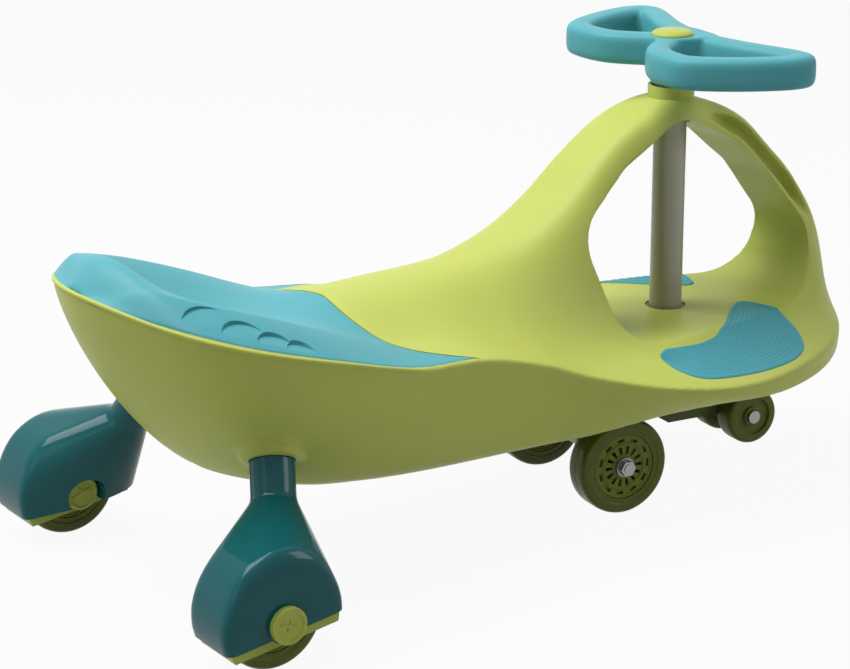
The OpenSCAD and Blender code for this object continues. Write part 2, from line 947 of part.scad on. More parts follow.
module front_axle_nuts() {
    color("silver")
        for (side = [-1, 1])
            at_front(side)
                translate([0, side * (wheel_w / 2 + side_gap + 2.5), 0])
                    difference() {
                        rotate([90, 0, 0])
                            cylinder(r = 6.8, h = 5, center = true, $fn = 6);
                        disc(axle_r + 0.05, 10);
                    }
}

module front_spacers() {
    color("silver")
        for (side = [-1, 1])
            at_front(side)
                translate([0, -side * (wheel_w / 2 + side_gap + 0.75), 0])
                    difference() {
                        disc(axle_r + 2.5, 0.75);
                        disc(axle_r + 0.05, 10);
                    }
}

module front_tyre_right() {
    at_front(-1)
        tyre();
}

module front_tyre_left() {
    at_front(1)
        tyre();
}

module front_hub_right() {
    at_front(-1)
        hub();
}

module front_hub_left() {
    at_front(1)
        hub();
}

module front_bearings_right() {
    at_front(-1)
        bearings();
}

module front_bearings_left() {
    at_front(1)
        bearings();
}

module guard_axle() {
    color("silver")
        steered()
            translate([guard_lead, 0, guard_z]) {
                disc(axle_r - 1, guard_y + guard_w / 2 + side_gap + 1);
                for (s = [-1, 1])
                    translate([0, s * (guard_y + guard_w / 2 + side_gap + 1), 0])
                        disc(axle_r + 1.5, 1);
            }
}

module guard_wheel(side) {
    color("darkolivegreen")
        steered()
            translate([guard_lead, side * guard_y, guard_z])
                difference() {
                    union() {
                        disc(guard_d / 2, guard_w / 2 - 3);
                        disc(guard_d / 2 - 3, guard_w / 2);
                    }
                    disc(axle_r - 1 + run_fit, guard_w);
                    for (s = [-1, 1])
                        translate([0, s * guard_w / 2, 0])
                            difference() {
                                disc(16, 2.5);
                                disc(9, 5);
                            }
                }
}

module guard_wheel_right() {
    guard_wheel(-1);
}

module guard_wheel_left() {
    guard_wheel(1);
}

body_shell();
seat_cap();
seat_screws();
footrest_pad_right();
footrest_pad_left();
upper_column_bush();
lower_column_bush();
rear_leg_right();
rear_leg_left();
leg_screws();
wheel_carrier_right();
wheel_carrier_left();
rear_spacers();
rear_axle_right();
rear_axle_left();
axle_caps_right();
axle_caps_left();
rear_tyre_right();
rear_tyre_left();
rear_hub_right();
rear_hub_left();
rear_bearings_right();
rear_bearings_left();
steering_wheel();
steering_cap();
steering_bolt();
steering_column();
thrust_washer();
yoke();
yoke_bolt();
front_axle();
front_axle_nuts();
front_spacers();
front_tyre_right();
front_tyre_left();
front_hub_right();
front_hub_left();
front_bearings_right();
front_bearings_left();
guard_axle();
guard_wheel_right();
guard_wheel_left();
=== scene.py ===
"""Looks of the wiggle car: moulded shell, seat cap, footrest pads, legs, wheels and steering wheel."""

import json
import logging
import math
from dataclasses import dataclass, field
from enum import Enum
from typing import Any, Callable, Sequence

import bpy
import numpy as np
from mathutils import Matrix, Vector


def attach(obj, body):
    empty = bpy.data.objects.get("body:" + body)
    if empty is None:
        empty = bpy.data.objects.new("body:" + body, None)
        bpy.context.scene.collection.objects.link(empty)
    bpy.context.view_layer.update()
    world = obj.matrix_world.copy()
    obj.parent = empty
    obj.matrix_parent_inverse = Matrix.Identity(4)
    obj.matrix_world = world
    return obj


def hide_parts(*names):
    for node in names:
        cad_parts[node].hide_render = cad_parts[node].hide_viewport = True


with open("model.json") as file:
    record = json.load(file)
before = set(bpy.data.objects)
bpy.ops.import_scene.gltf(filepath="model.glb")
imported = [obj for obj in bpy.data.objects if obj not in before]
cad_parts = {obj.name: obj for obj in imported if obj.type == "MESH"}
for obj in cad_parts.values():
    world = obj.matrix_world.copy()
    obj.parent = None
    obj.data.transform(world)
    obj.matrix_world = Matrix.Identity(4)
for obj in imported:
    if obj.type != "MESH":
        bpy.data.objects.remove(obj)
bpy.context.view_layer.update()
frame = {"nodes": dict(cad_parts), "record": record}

LOG = logging.getLogger("wiggle_car")
MM = 0.001

# Places in mm and angles in degrees that several pieces share
COLUMN_X = 190.5
REST_TURN = -6.0
REAR_AXLE = (-292.5, 158.0, 40.0)
SOCKET = (-250.5, 98.0, 120.0)
SOCKET_TURN = 118.4
NECK_LEAN = 35.4

# Frames: the column's, the column's as it rests turned, and an axle's along Y
COLUMN = Matrix.Translation((COLUMN_X, 0, 0))
TURNED_COLUMN = COLUMN @ Matrix.Rotation(math.radians(REST_TURN), 4, "Z")
AXLE = Matrix.Rotation(math.pi / 2, 4, "X")

Pairs = Sequence[tuple[float, float]]
Colour = tuple[float, float, float, float]
Triples = Sequence[tuple[float, float, float]]


class Side(Enum):
    """Side of the car, with the sign of its Y."""

    RIGHT = -1
    LEFT = 1

    @property
    def tag(self) -> str:
        """The side's name as the nodes end with it."""
        return self.name.lower()


class Cut(Enum):
    """What a second solid does to the first."""

    AWAY = "DIFFERENCE"
    JOIN = "UNION"
    KEEP = "INTERSECT"


class Body(Enum):
    """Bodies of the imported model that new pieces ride."""

    CAR = "car_body"
    STEERING = "steering"


def srgb(red: float, green: float, blue: float) -> Colour:
    """Turns a colour as seen on a screen, 0 to 255, into the linear one a shader takes.

    Args:
        red: the red channel.
        green: the green channel.
        blue: the blue channel.

    Returns:
        The colour, opaque.
    """

    def linear(value: float) -> float:
        """One channel."""
        share = value / 255
        return share / 12.92 if share <= 0.04045 else ((share + 0.055) / 1.055) ** 2.4

    return linear(red), linear(green), linear(blue), 1.0


class Value:
    """A number that changes over a surface; arithmetic on it adds Math nodes."""

    def __init__(self, recipe: "Nodes", socket: Any) -> None:
        """Wraps an output socket of a recipe's node tree."""
        self.recipe = recipe
        self.socket = socket

    def math(self, operation: str, first: Any, second: Any = 0.0) -> "Value":
        """Adds one Math node.

        Args:
            operation: the node's operation.
            first: its first input, a Value or a number.
            second: its second input, a Value or a number.

        Returns:
            The node's result.
        """
        node = self.recipe.add("ShaderNodeMath", {"operation": operation}, {0: first, 1: second})
        return Value(self.recipe, node.outputs[0])

    def __add__(self, other: Any) -> "Value":
        """self + other"""
        return self.math("ADD", self, other)

    __radd__ = __add__

    def __mul__(self, other: Any) -> "Value":
        """self * other"""
        return self.math("MULTIPLY", self, other)

    __rmul__ = __mul__

    def __sub__(self, other: Any) -> "Value":
        """self - other"""
        return self.math("SUBTRACT", self, other)

    def __rsub__(self, other: Any) -> "Value":
        """other - self"""
        return self.math("SUBTRACT", other, self)


class Nodes:
    """A node tree, filled step by step."""

    def __init__(self, tree: bpy.types.NodeTree) -> None:
        """Starts from an empty tree."""
        self.tree = tree
        self.tree.nodes.clear()

    def add(
        self, kind: str, settings: dict[str, Any] | None = None, inputs: dict[Any, Any] | None = None
    ) -> bpy.types.Node:
        """Adds any node.

        Args:
            kind: the node's type.
            settings: its properties, set first.
            inputs: values, Values or sockets for its inputs, by name or number.

        Returns:
            The new node.
        """
        node = self.tree.nodes.new(kind)
        for key, value in (settings or {}).items():
            setattr(node, key, value)
        for key, value in (inputs or {}).items():
            self.feed(node.inputs[key], value)
        return node

    def feed(self, socket: Any, value: Any) -> None:
        """Gives an input socket a constant, a Value or another node's output.

        Args:
            socket: the input.
            value: what it gets.
        """
        if isinstance(value, Value):
            self.tree.links.new(value.socket, socket)
        elif isinstance(value, bpy.types.NodeSocket):
            self.tree.links.new(value, socket)
        else:
            socket.default_value = value

    def seen(self) -> Value:
        """1 for a ray that shows the backdrop, straight on or in a reflection.

        Returns:
            The mask.
        """
        path = self.add("ShaderNodeLightPath").outputs
        rays = Value(self, path["Is Camera Ray"]) + path["Is Glossy Ray"] + path["Is Transmission Ray"]
        return rays.math("MINIMUM", rays, 1.0)


class Recipe(Nodes):
    """One material's node tree."""

    def __init__(self, name: str) -> None:
        """Starts a material with a bare Principled shader.

        Args:
            name: the material's name.
        """
        self.material = bpy.data.materials.new(name)
        self.material.use_nodes = True
        super().__init__(self.material.node_tree)
        self.shader = self.add("ShaderNodeBsdfPrincipled")
        self.output = self.add("ShaderNodeOutputMaterial", None, {"Surface": self.shader.outputs[0]})
        self.place = self.add("ShaderNodeTexCoord").outputs["Object"]

    def noise(self, scale: float, detail: float = 3.0, stretch: Sequence[float] = (1, 1, 1)) -> Value:
        """Adds a noise pattern fixed to the piece.

        Args:
            scale: cells per metre.
            detail: octaves.
            stretch: scale along each axis, for grain that runs one way.

        Returns:
            The pattern, about 0.5 in the middle.
        """
        place = self.add("ShaderNodeMapping", None, {"Vector": self.place, "Scale": stretch})
        inputs = {"Vector": place.outputs[0], "Scale": scale, "Detail": detail, "Roughness": 0.55}
        return Value(self, self.add("ShaderNodeTexNoise", None, inputs).outputs[0])

    def blend(self, share: Any, first: Any, second: Any) -> Any:
        """Mixes two colours by a share and returns the colour's socket.

        Args:
            share: share of the second colour.
            first: the first colour.
            second: the second colour.

        Returns:
            The mixed colour's socket.
        """
        mix = self.add("ShaderNodeMix", {"data_type": "RGBA"})
        self.feed(mix.inputs[0], share)
        self.feed(mix.inputs[6], first)
        self.feed(mix.inputs[7], second)
        return mix.outputs[2]

    def relief(self, height: Value, depth: float, strength: float) -> None:
        """Feeds a height pattern into the shader's normal."""
        inputs = {"Height": height, "Distance": depth, "Strength": strength}
        self.feed(self.shader.inputs["Normal"], self.add("ShaderNodeBump", None, inputs).outputs[0])

    def surface(self, **inputs: Any) -> bpy.types.Material:
        """Feeds the shader's inputs, named with underscores, and returns the material.

        Args:
            inputs: values, Values or sockets by the input's name.

        Returns:
            The material.
        """
        for key, value in inputs.items():
            self.feed(self.shader.inputs[key.replace("_", " ")], value)
        return self.material


def tint(colour: Colour, factor: float) -> Colour:
    """A colour made lighter or darker by a factor."""
    return tuple(min(c * factor, 1.0) for c in colour[:3]) + (1.0,)


@dataclass(frozen=True)
class MouldedPlastic:
    """Satin moulded plastic with a fine grain and faint flow marks."""

    name: str
    colour: Colour
    roughness: float = 0.45
    grain: float = 0.25
    coat: float = 0.0
    shine: float = 0.2

    def make(self) -> bpy.types.Material:
        """Builds the material.

        Returns:
            The material.
        """
        recipe = Recipe(self.name)
        flow = recipe.noise(9.0, 2.0, (1.0, 1.0, 2.5))
        fine = recipe.noise(1400.0, 2.0)
        dust = recipe.noise(55.0, 5.0)
        colour = recipe.blend(flow, tint(self.colour, 0.95), tint(self.colour, 1.05))
        colour = recipe.blend((dust - 0.62) * 0.5, colour, tint(self.colour, 1.25))
        recipe.relief(fine + dust * 0.3, 0.0002, self.grain)
        rough = (fine - 0.5) * 0.10 + (dust - 0.5) * 0.08 + self.roughness
        return recipe.surface(
            Base_Color=colour, Roughness=rough, Specular_IOR_Level=self.shine, Coat_Weight=self.coat,
            Coat_Roughness=0.06,
        )


@dataclass(frozen=True)
class CastRubber:
    """Matt soft rubber with a dusty bloom."""

    name: str
    colour: Colour
    roughness: float = 0.62

    def make(self) -> bpy.types.Material:
        """Builds the material.

        Returns:
            The material.
        """
        recipe = Recipe(self.name)
        bloom = recipe.noise(30.0, 4.0)
        fine = recipe.noise(2200.0, 2.0)
        colour = recipe.blend(bloom, tint(self.colour, 0.9), tint(self.colour, 1.12))
        recipe.relief(fine, 0.0002, 0.3)
        return recipe.surface(Base_Color=colour, Roughness=(bloom - 0.5) * 0.15 + self.roughness)


@dataclass(frozen=True)
class CastTyre:
    """Tinted cast polyurethane, a little clear, with scuffs on its tread."""

    name: str
    colour: Colour
    clear: float = 0.1

    def make(self) -> bpy.types.Material:
        """Builds the material.

        Returns:
            The material.
        """
        recipe = Recipe(self.name)
        cloud = recipe.noise(60.0, 3.0)
        scuff = recipe.noise(420.0, 4.0)
        colour = recipe.blend(cloud, tint(self.colour, 0.8), tint(self.colour, 1.25))
        recipe.relief(scuff, 0.0003, 0.12)
        rough = (scuff - 0.5) * 0.25 + 0.3
        return recipe.surface(
            Base_Color=colour, Roughness=rough, Specular_IOR_Level=0.2, Transmission_Weight=self.clear,
            IOR=1.5,
        )


@dataclass(frozen=True)
class TurnedSteel:
    """Bright plated steel with fine turning marks."""

    name: str
    colour: Colour = srgb(146, 147, 146)

    def make(self) -> bpy.types.Material:
        """Builds the material.

        Returns:
            The material.
        """
        recipe = Recipe(self.name)
        marks = recipe.noise(300.0, 4.0, (1.0, 12.0, 1.0))
        colour = recipe.blend(marks, tint(self.colour, 0.82), tint(self.colour, 1.1))
        recipe.relief(marks, 0.0001, 0.2)
        return recipe.surface(Base_Color=colour, Metallic=1.0, Roughness=(marks - 0.5) * 0.2 + 0.34)


@dataclass(frozen=True)
class PaintedTube:
    """Warm grey powder paint with a light orange peel."""

    name: str
    colour: Colour

    def make(self) -> bpy.types.Material:
        """Builds the material.

        Returns:
            The material.
        """
        recipe = Recipe(self.name)
        peel = recipe.noise(500.0, 2.0)
        streak = recipe.noise(40.0, 3.0, (1.0, 1.0, 0.1))
        colour = recipe.blend(streak, tint(self.colour, 0.93), tint(self.colour, 1.06))
        recipe.relief(peel, 0.0002, 0.25)
        return recipe.surface(Base_Color=colour, Roughness=(peel - 0.5) * 0.1 + 0.36, Coat_Weight=0.15)


LIME = srgb(186, 195, 96)
TEAL = srgb(82, 162, 172)

FINISHES = {
    "lime_plastic": MouldedPlastic("lime moulded plastic", LIME, 0.46),
    "lime_trim": MouldedPlastic("lime trim plastic", srgb(176, 186, 84), 0.38),
    "teal_plastic": MouldedPlastic("teal moulded plastic", TEAL, 0.44),
    "teal_rubber": CastRubber("teal pad rubber", srgb(66, 150, 162)),
    "teal_gloss": MouldedPlastic("glossy dark teal plastic", srgb(6, 90, 95), 0.15, 0.04, 0.15, 0.12),
    "olive_tyre": CastTyre("olive cast tyre", srgb(100, 110, 24)),
    "olive_hub": MouldedPlastic("olive hub plastic", srgb(122, 132, 46), 0.36),
    "guard_plastic": MouldedPlastic("guard wheel plastic", srgb(96, 110, 42), 0.4),
    # The yoke's lime-olive plastic, darkened to stand in for the shade it sits in: painted shade.
    "yoke_plastic": MouldedPlastic("yoke plastic", srgb(98, 108, 58), 0.45),
    "column_paint": PaintedTube("column paint", srgb(172, 167, 152)),
    "bush_plastic": MouldedPlastic("bush plastic", srgb(84, 90, 48), 0.4),
    "steel": TurnedSteel("plated steel"),
}


class Palette:
    """Materials by the record's slot, each made once."""

    def __init__(self) -> None:
        """Starts with no material made."""
        self.made: dict[str, bpy.types.Material] = {}

    def get(self, slot: str) -> bpy.types.Material:
        """The slot's material, made on first use.

        Args:
            slot: the record's material slot.

        Returns:
            The material.
        """
        if slot not in self.made:
            self.made[slot] = FINISHES[slot].make()
        return self.made[slot]


PALETTE = Palette()


def only(obj: bpy.types.Object) -> bpy.types.Object:
    """Makes obj the one selected and active object.

    Args:
        obj: the object.

    Returns:
        The same object.
    """
    bpy.ops.object.select_all(action="DESELECT")
    obj.select_set(True)
    bpy.context.view_layer.objects.active = obj
    return obj


def clear_selection() -> None:
    """Deselects everything, before a primitive is added."""
    bpy.ops.object.select_all(action="DESELECT")


def settle(obj: bpy.types.Object, name: str) -> bpy.types.Object:
    """Writes obj's place into its mesh and names it.

    Args:
        obj: the object.
        name: its new name, and its mesh's.

    Returns:
        The same object.
    """
    only(obj)
    bpy.ops.object.transform_apply(location=True, rotation=True, scale=True)
    obj.name = name
    obj.data.name = name
    return obj


def tidy(obj: bpy.types.Object, distance: float = 1e-6) -> bpy.types.Object:
    """Merges doubles, fills open ends and turns the faces outwards.

    Args:
        obj: the piece.
        distance: how near to each other points are merged, in metres.

    Returns:
        The same piece.
    """
    only(obj)
    bpy.ops.object.mode_set(mode="EDIT")
    bpy.ops.mesh.select_all(action="SELECT")
    bpy.ops.mesh.remove_doubles(threshold=distance)
    bpy.ops.mesh.select_all(action="SELECT")
    bpy.ops.mesh.dissolve_degenerate(threshold=distance)
    bpy.ops.mesh.select_all(action="DESELECT")
    bpy.ops.mesh.select_non_manifold(extend=False)
    bpy.ops.mesh.fill_holes(sides=0)
    bpy.ops.mesh.select_all(action="SELECT")
    bpy.ops.mesh.normals_make_consistent(inside=False)
    bpy.ops.object.mode_set(mode="OBJECT")
    return obj


def cylinder(
    name: str, radius: float, low: float, high: float, frame_at: Matrix | None = None, sides: int = 96,
    top_radius: float | None = None,
) -> bpy.types.Object:
    """Adds a cylinder or cone along a frame's Z.

    Args:
        name: the piece's name.
        radius: radius at its low end, in mm.
        low: place of its low end on the frame's Z, in mm.
        high: place of its high end, in mm.
        frame_at: the frame, with its place in mm.
        sides: faces around.
        top_radius: radius at its high end, or None for the same.

    Returns:
        The new object, with its place in its mesh.
    """
    clear_selection()
    end = radius if top_radius is None else top_radius
    bpy.ops.mesh.primitive_cone_add(
        vertices=sides, radius1=radius * MM, radius2=end * MM, depth=(high - low) * MM,
        location=(0, 0, (low + high) / 2 * MM),
    )
    obj = settle(bpy.context.object, name)
    if frame_at is not None:
        place(obj, frame_at)
    return obj


def place(obj: bpy.types.Object, frame_at: Matrix) -> bpy.types.Object:
    """Moves obj's mesh by a frame whose place is in mm.

    Args:
        obj: the piece.
        frame_at: the frame.

    Returns:
        The same piece.
    """
    matrix = frame_at.copy()
    matrix.translation = matrix.translation * MM
    obj.data.transform(matrix)
    obj.data.update()
    return obj


def block(name: str, low: Sequence[float], high: Sequence[float]) -> bpy.types.Object:
    """Adds a box between two corners in mm, as a cutter.

    Args:
        name: the box's name.
        low: its lowest corner.
        high: its highest corner.

    Returns:
        The new object, with its place in its mesh.
    """
    clear_selection()
    middle = [(a + b) / 2 * MM for a, b in zip(low, high)]
    size = [(b - a) * MM for a, b in zip(low, high)]
    bpy.ops.mesh.primitive_cube_add(size=1, location=middle)
    bpy.context.object.scale = size
    return settle(bpy.context.object, name)


def across(radius: float, half: float, centre: Sequence[float], sides: int = 96) -> bpy.types.Object:
    """Adds a disc of a half width around an axle along Y, all in mm."""
    return cylinder("disc", radius, -half, half, Matrix.Translation(Vector(centre)) @ AXLE, sides)


def surface(
    name: str, along: int, around: int, shape: Callable[[np.ndarray, np.ndarray], np.ndarray]
) -> bpy.types.Object:
    """Adds a grid and rolls it into a closed skin.

    Args:
        name: the piece's name.
        along: faces along the skin.
        around: faces around it.
        shape: gives points in mm for shares along and around, each 0 to 1.

    Returns:
        The new closed object.
    """
    clear_selection()
    bpy.ops.mesh.primitive_grid_add(x_subdivisions=along, y_subdivisions=around, size=1)
    obj = bpy.context.object
    flat = np.empty(len(obj.data.vertices) * 3)
    obj.data.vertices.foreach_get("co", flat)
    flat = flat.reshape(-1, 3)
    points = shape(np.clip(flat[:, 0] + 0.5, 0, 1), np.clip(flat[:, 1] + 0.5, 0, 1))
    obj.data.vertices.foreach_set("co", (points * MM).ravel())
    obj.data.update()
    return tidy(settle(obj, name))


def outline_prism(name: str, outline: np.ndarray, low: float, high: float) -> bpy.types.Object:
    """Adds a prism over a plan outline.

    Args:
        name: the piece's name.
        outline: the corners in turn, in mm.
        low: height of its lower face, in mm.
        high: height of its upper face, in mm.

    Returns:
        The new closed object.
    """
    clear_selection()
    bpy.ops.mesh.primitive_circle_add(vertices=len(outline), radius=1, fill_type="NGON")
    obj = bpy.context.object
    for vertex, (x, y) in zip(obj.data.vertices, outline):
        vertex.co = (x * MM, y * MM, low * MM)
    bpy.ops.object.mode_set(mode="EDIT")
    bpy.ops.mesh.select_all(action="SELECT")
    bpy.ops.mesh.extrude_region_move(TRANSFORM_OT_translate={"value": (0, 0, (high - low) * MM)})
    bpy.ops.object.mode_set(mode="OBJECT")
    return tidy(settle(obj, name))


def rounded(corners: Triples, steps: int = 5) -> np.ndarray:
    """Rounds the corners of a closed outline.

    Args:
        corners: each corner's two places and how far its rounding reaches, in mm.
        steps: points along each rounding, less one.

    Returns:
        The outline's points in turn.
    """
    points = []
    places = [np.array(c[:2], float) for c in corners]
    for i, corner in enumerate(corners):
        here = places[i]
        ends = []
        for other in (places[i - 1], places[(i + 1) % len(places)]):
            way = other - here
            length = np.linalg.norm(way)
            ends.append(here + way * min(corner[2] / length, 0.5))
        for t in np.linspace(0, 1, steps + 1):
            points.append((1 - t) ** 2 * ends[0] + 2 * t * (1 - t) * here + t * t * ends[1])
    return np.array(points)


def lathe(
    name: str, profile: Triples, frame_at: Matrix, sides: int = 128, steps: int = 5
) -> bpy.types.Object:
    """Turns a closed, rounded profile about a frame's Z.

    Args:
        name: the piece's name.
        profile: its corners as radius, height and rounding, in mm.
        frame_at: the frame, with its place in mm.
        sides: faces around.
        steps: faces along each rounding.

    Returns:
        The new closed object.
    """
    ring = rounded(profile, steps)
    n = len(ring)

    def shape(u: np.ndarray, v: np.ndarray) -> np.ndarray:
        """The profile, turned.

        Args:
            u: shares along the skin.
            v: shares around it.

        Returns:
            The points, in mm.
        """
        k = np.round(v * n).astype(int) % n
        a = 2 * math.pi * (np.round(u * sides) % sides) / sides
        return np.stack([ring[k, 0] * np.cos(a), ring[k, 0] * np.sin(a), ring[k, 1]], 1)

    return place(surface(name, sides, n, shape), frame_at)


def both_faces(side: Triples, shared: int = 0) -> Triples:
    """A profile's upper half and its mirror image, without the points that both share at the end."""
    return [*side, *((x, -z, e) for x, z, e in side[len(side) - 1 - shared::-1])]


def apply(obj: bpy.types.Object, kind: str, **settings: Any) -> bpy.types.Object:
    """Adds a modifier with its settings and applies it.

    Args:
        obj: the piece.
        kind: the modifier's type.
        settings: its properties.

    Returns:
        The same piece.
    """
    modifier = obj.modifiers.new(kind.lower(), kind)
    for key, value in settings.items():
        setattr(modifier, key, value)
    only(obj)
    bpy.ops.object.modifier_apply(modifier=modifier.name)
    return obj


def carve(obj: bpy.types.Object, tool: bpy.types.Object, how: Cut = Cut.AWAY) -> bpy.types.Object:
    """Cuts, joins or keeps obj with a tool and removes the tool.

    Args:
        obj: the piece.
        tool: the second solid.
        how: what it does to the piece.

    Returns:
        The same piece.
    """
    apply(obj, "BOOLEAN", object=tool, operation=how.value, solver="MANIFOLD")
    bpy.data.objects.remove(tool)
    return obj


def soften(obj: bpy.types.Object, cell: float, rounds: int, keep: float = 1.0) -> bpy.types.Object:
    """Gives a piece the rounded edges of a moulding.

    Args:
        obj: the piece.
        cell: size of the even mesh it gets, in mm.
        rounds: how often the mesh is relaxed.
        keep: share of the faces that stay.

    Returns:
        The piece.
    """
    apply(obj, "REMESH", mode="VOXEL", voxel_size=cell * MM)
    apply(obj, "SMOOTH", factor=0.5, iterations=rounds)
    if keep < 1:
        apply(obj, "DECIMATE", ratio=keep)
    only(obj)
    bpy.ops.object.shade_smooth()
    return obj


def smooth(obj: bpy.types.Object, degrees: float) -> bpy.types.Object:
    """Shades obj smooth, apart from edges sharper than an angle.

    Args:
        obj: the piece.
        degrees: the angle.

    Returns:
        The same piece.
    """
    only(obj)
    bpy.ops.object.shade_smooth_by_angle(angle=math.radians(degrees))
    return obj


def join(pieces: Sequence[bpy.types.Object]) -> bpy.types.Object:
    """Joins pieces into the first one's object.

    Args:
        pieces: the pieces, all of them used up but the first.

    Returns:
        The first piece.
    """
    only(pieces[0])
    for piece in pieces:
        piece.select_set(True)
    bpy.ops.object.join()
    return bpy.context.object


def hull(name: str, pieces: Sequence[bpy.types.Object]) -> bpy.types.Object:
    """Joins pieces into their common hull.

    Args:
        name: the hull's name.
        pieces: what it goes round, all used up.

    Returns:
        The new closed object.
    """
    obj = join(pieces)
    bpy.ops.object.mode_set(mode="EDIT")
    bpy.ops.mesh.select_all(action="SELECT")
    bpy.ops.mesh.convex_hull(delete_unused=True, use_existing_faces=False)
    bpy.ops.object.mode_set(mode="OBJECT")
    return tidy(settle(obj, name))


def own_copy(obj: bpy.types.Object, name: str) -> bpy.types.Object:
    """Copies a piece, with its own mesh.

    Args:
        obj: the piece.
        name: the copy's name.

    Returns:
        The copy.
    """
    copy = obj.copy()
    copy.data = obj.data.copy()
    bpy.context.scene.collection.objects.link(copy)
    copy.name = name
    copy.data.name = name
    return copy


def flip(obj: bpy.types.Object) -> bpy.types.Object:
    """Mirrors a piece's mesh to the car's other side.

    Args:
        obj: the piece.

    Returns:
        The same piece.
    """
    obj.data.transform(Matrix.Scale(-1, 4, Vector((0, 1, 0))))
    obj.data.flip_normals()
    return obj


def copy_to(obj: bpy.types.Object, name: str, frame_at: Matrix) -> bpy.types.Object:
    """Copies a piece into a frame whose place is in mm."""
    return place(own_copy(obj, name), frame_at)


def twin(obj: bpy.types.Object, name: str) -> bpy.types.Object:
    """Copies a piece to the car's other side."""
    return flip(own_copy(obj, name))


def dress(obj: bpy.types.Object, body: str, slot: str, *nodes: str) -> bpy.types.Object:
    """Paints a new piece, sets it on its body and hides the nodes it stands for.

    Args:
        obj: the piece.
        body: the body's name.
        slot: the record's material slot.
        nodes: names of the nodes that it stands for.

    Returns:
        The same piece.
    """
    obj.data.materials.clear()
    obj.data.materials.append(PALETTE.get(slot))
    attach(obj, body)
    if nodes:
        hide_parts(*nodes)
    LOG.info("%s rides %s, %d faces", obj.name, body, len(obj.data.polygons))
    return obj


def dress_pair(left: bpy.types.Object, stem: str, slot: str) -> None:
    """Copies a left piece of the car body to the right and dresses both.

    Args:
        left: the left piece.
        stem: the nodes' name without its side.
        slot: the record's material slot.
    """
    right = twin(left, f"{stem}_right")
    dress(left, Body.CAR.value, slot, f"{stem}_left")
    dress(right, Body.CAR.value, slot, f"{stem}_right")


class Line:
    """A smooth line through points of a table."""

    def __init__(self, points: Pairs) -> None:
        """Takes the table's points in rising order.

        Args:
            points: places and heights.
        """
        self.x = np.array([p[0] for p in points], float)
        self.y = np.array([p[1] for p in points], float)
        n = len(points)
        before = np.maximum(np.arange(n) - 1, 0)
        after = np.minimum(np.arange(n) + 1, n - 1)
        self.slope = (self.y[after] - self.y[before]) / (self.x[after] - self.x[before])

    def __call__(self, x: np.ndarray) -> np.ndarray:
        """Heights of the line at places x.

        Args:
            x: the places.

        Returns:
            The heights.
        """
        i = np.clip(np.searchsorted(self.x, x, side="right") - 1, 0, len(self.x) - 2)
        h = self.x[i + 1] - self.x[i]
        u = np.clip((x - self.x[i]) / h, 0, 1)
        w = 1 - u
        rise = self.y[i] * (1 + 2 * u) * w * w + self.y[i + 1] * u * u * (3 - 2 * u)
        return rise + self.slope[i] * h * u * w * w - self.slope[i + 1] * h * u * u * w


class Path:
    """A smooth line through points in plan."""

    def __init__(self, points: Pairs) -> None:
        """Takes the points in turn."""
        self.points = np.array(points, float)

    def __call__(self, share: np.ndarray) -> np.ndarray:
        """Points of the path at shares 0 to 1.

        Args:
            share: the shares.

        Returns:
            The points.
        """
        n = len(self.points) - 1
        i = np.clip(np.floor(share * n).astype(int), 0, n - 1)
        v = (share * n - i)[:, None]
        p = self.points
        a, b, c, d = p[np.maximum(i - 1, 0)], p[i], p[i + 1], p[np.minimum(i + 2, n)]
        w = 1 - v
        line = b * (1 + 2 * v) * w * w + c * v * v * (3 - 2 * v)
        return line + (c - a) / 2 * v * w * w - (d - b) / 2 * v * v * w


def ease(low: float, high: float, value: np.ndarray) -> np.ndarray:
    """A soft step from 0 at low to 1 at high."""
    u = np.clip((value - low) / (high - low), 0, 1)
    return u * u * (3 - 2 * u)


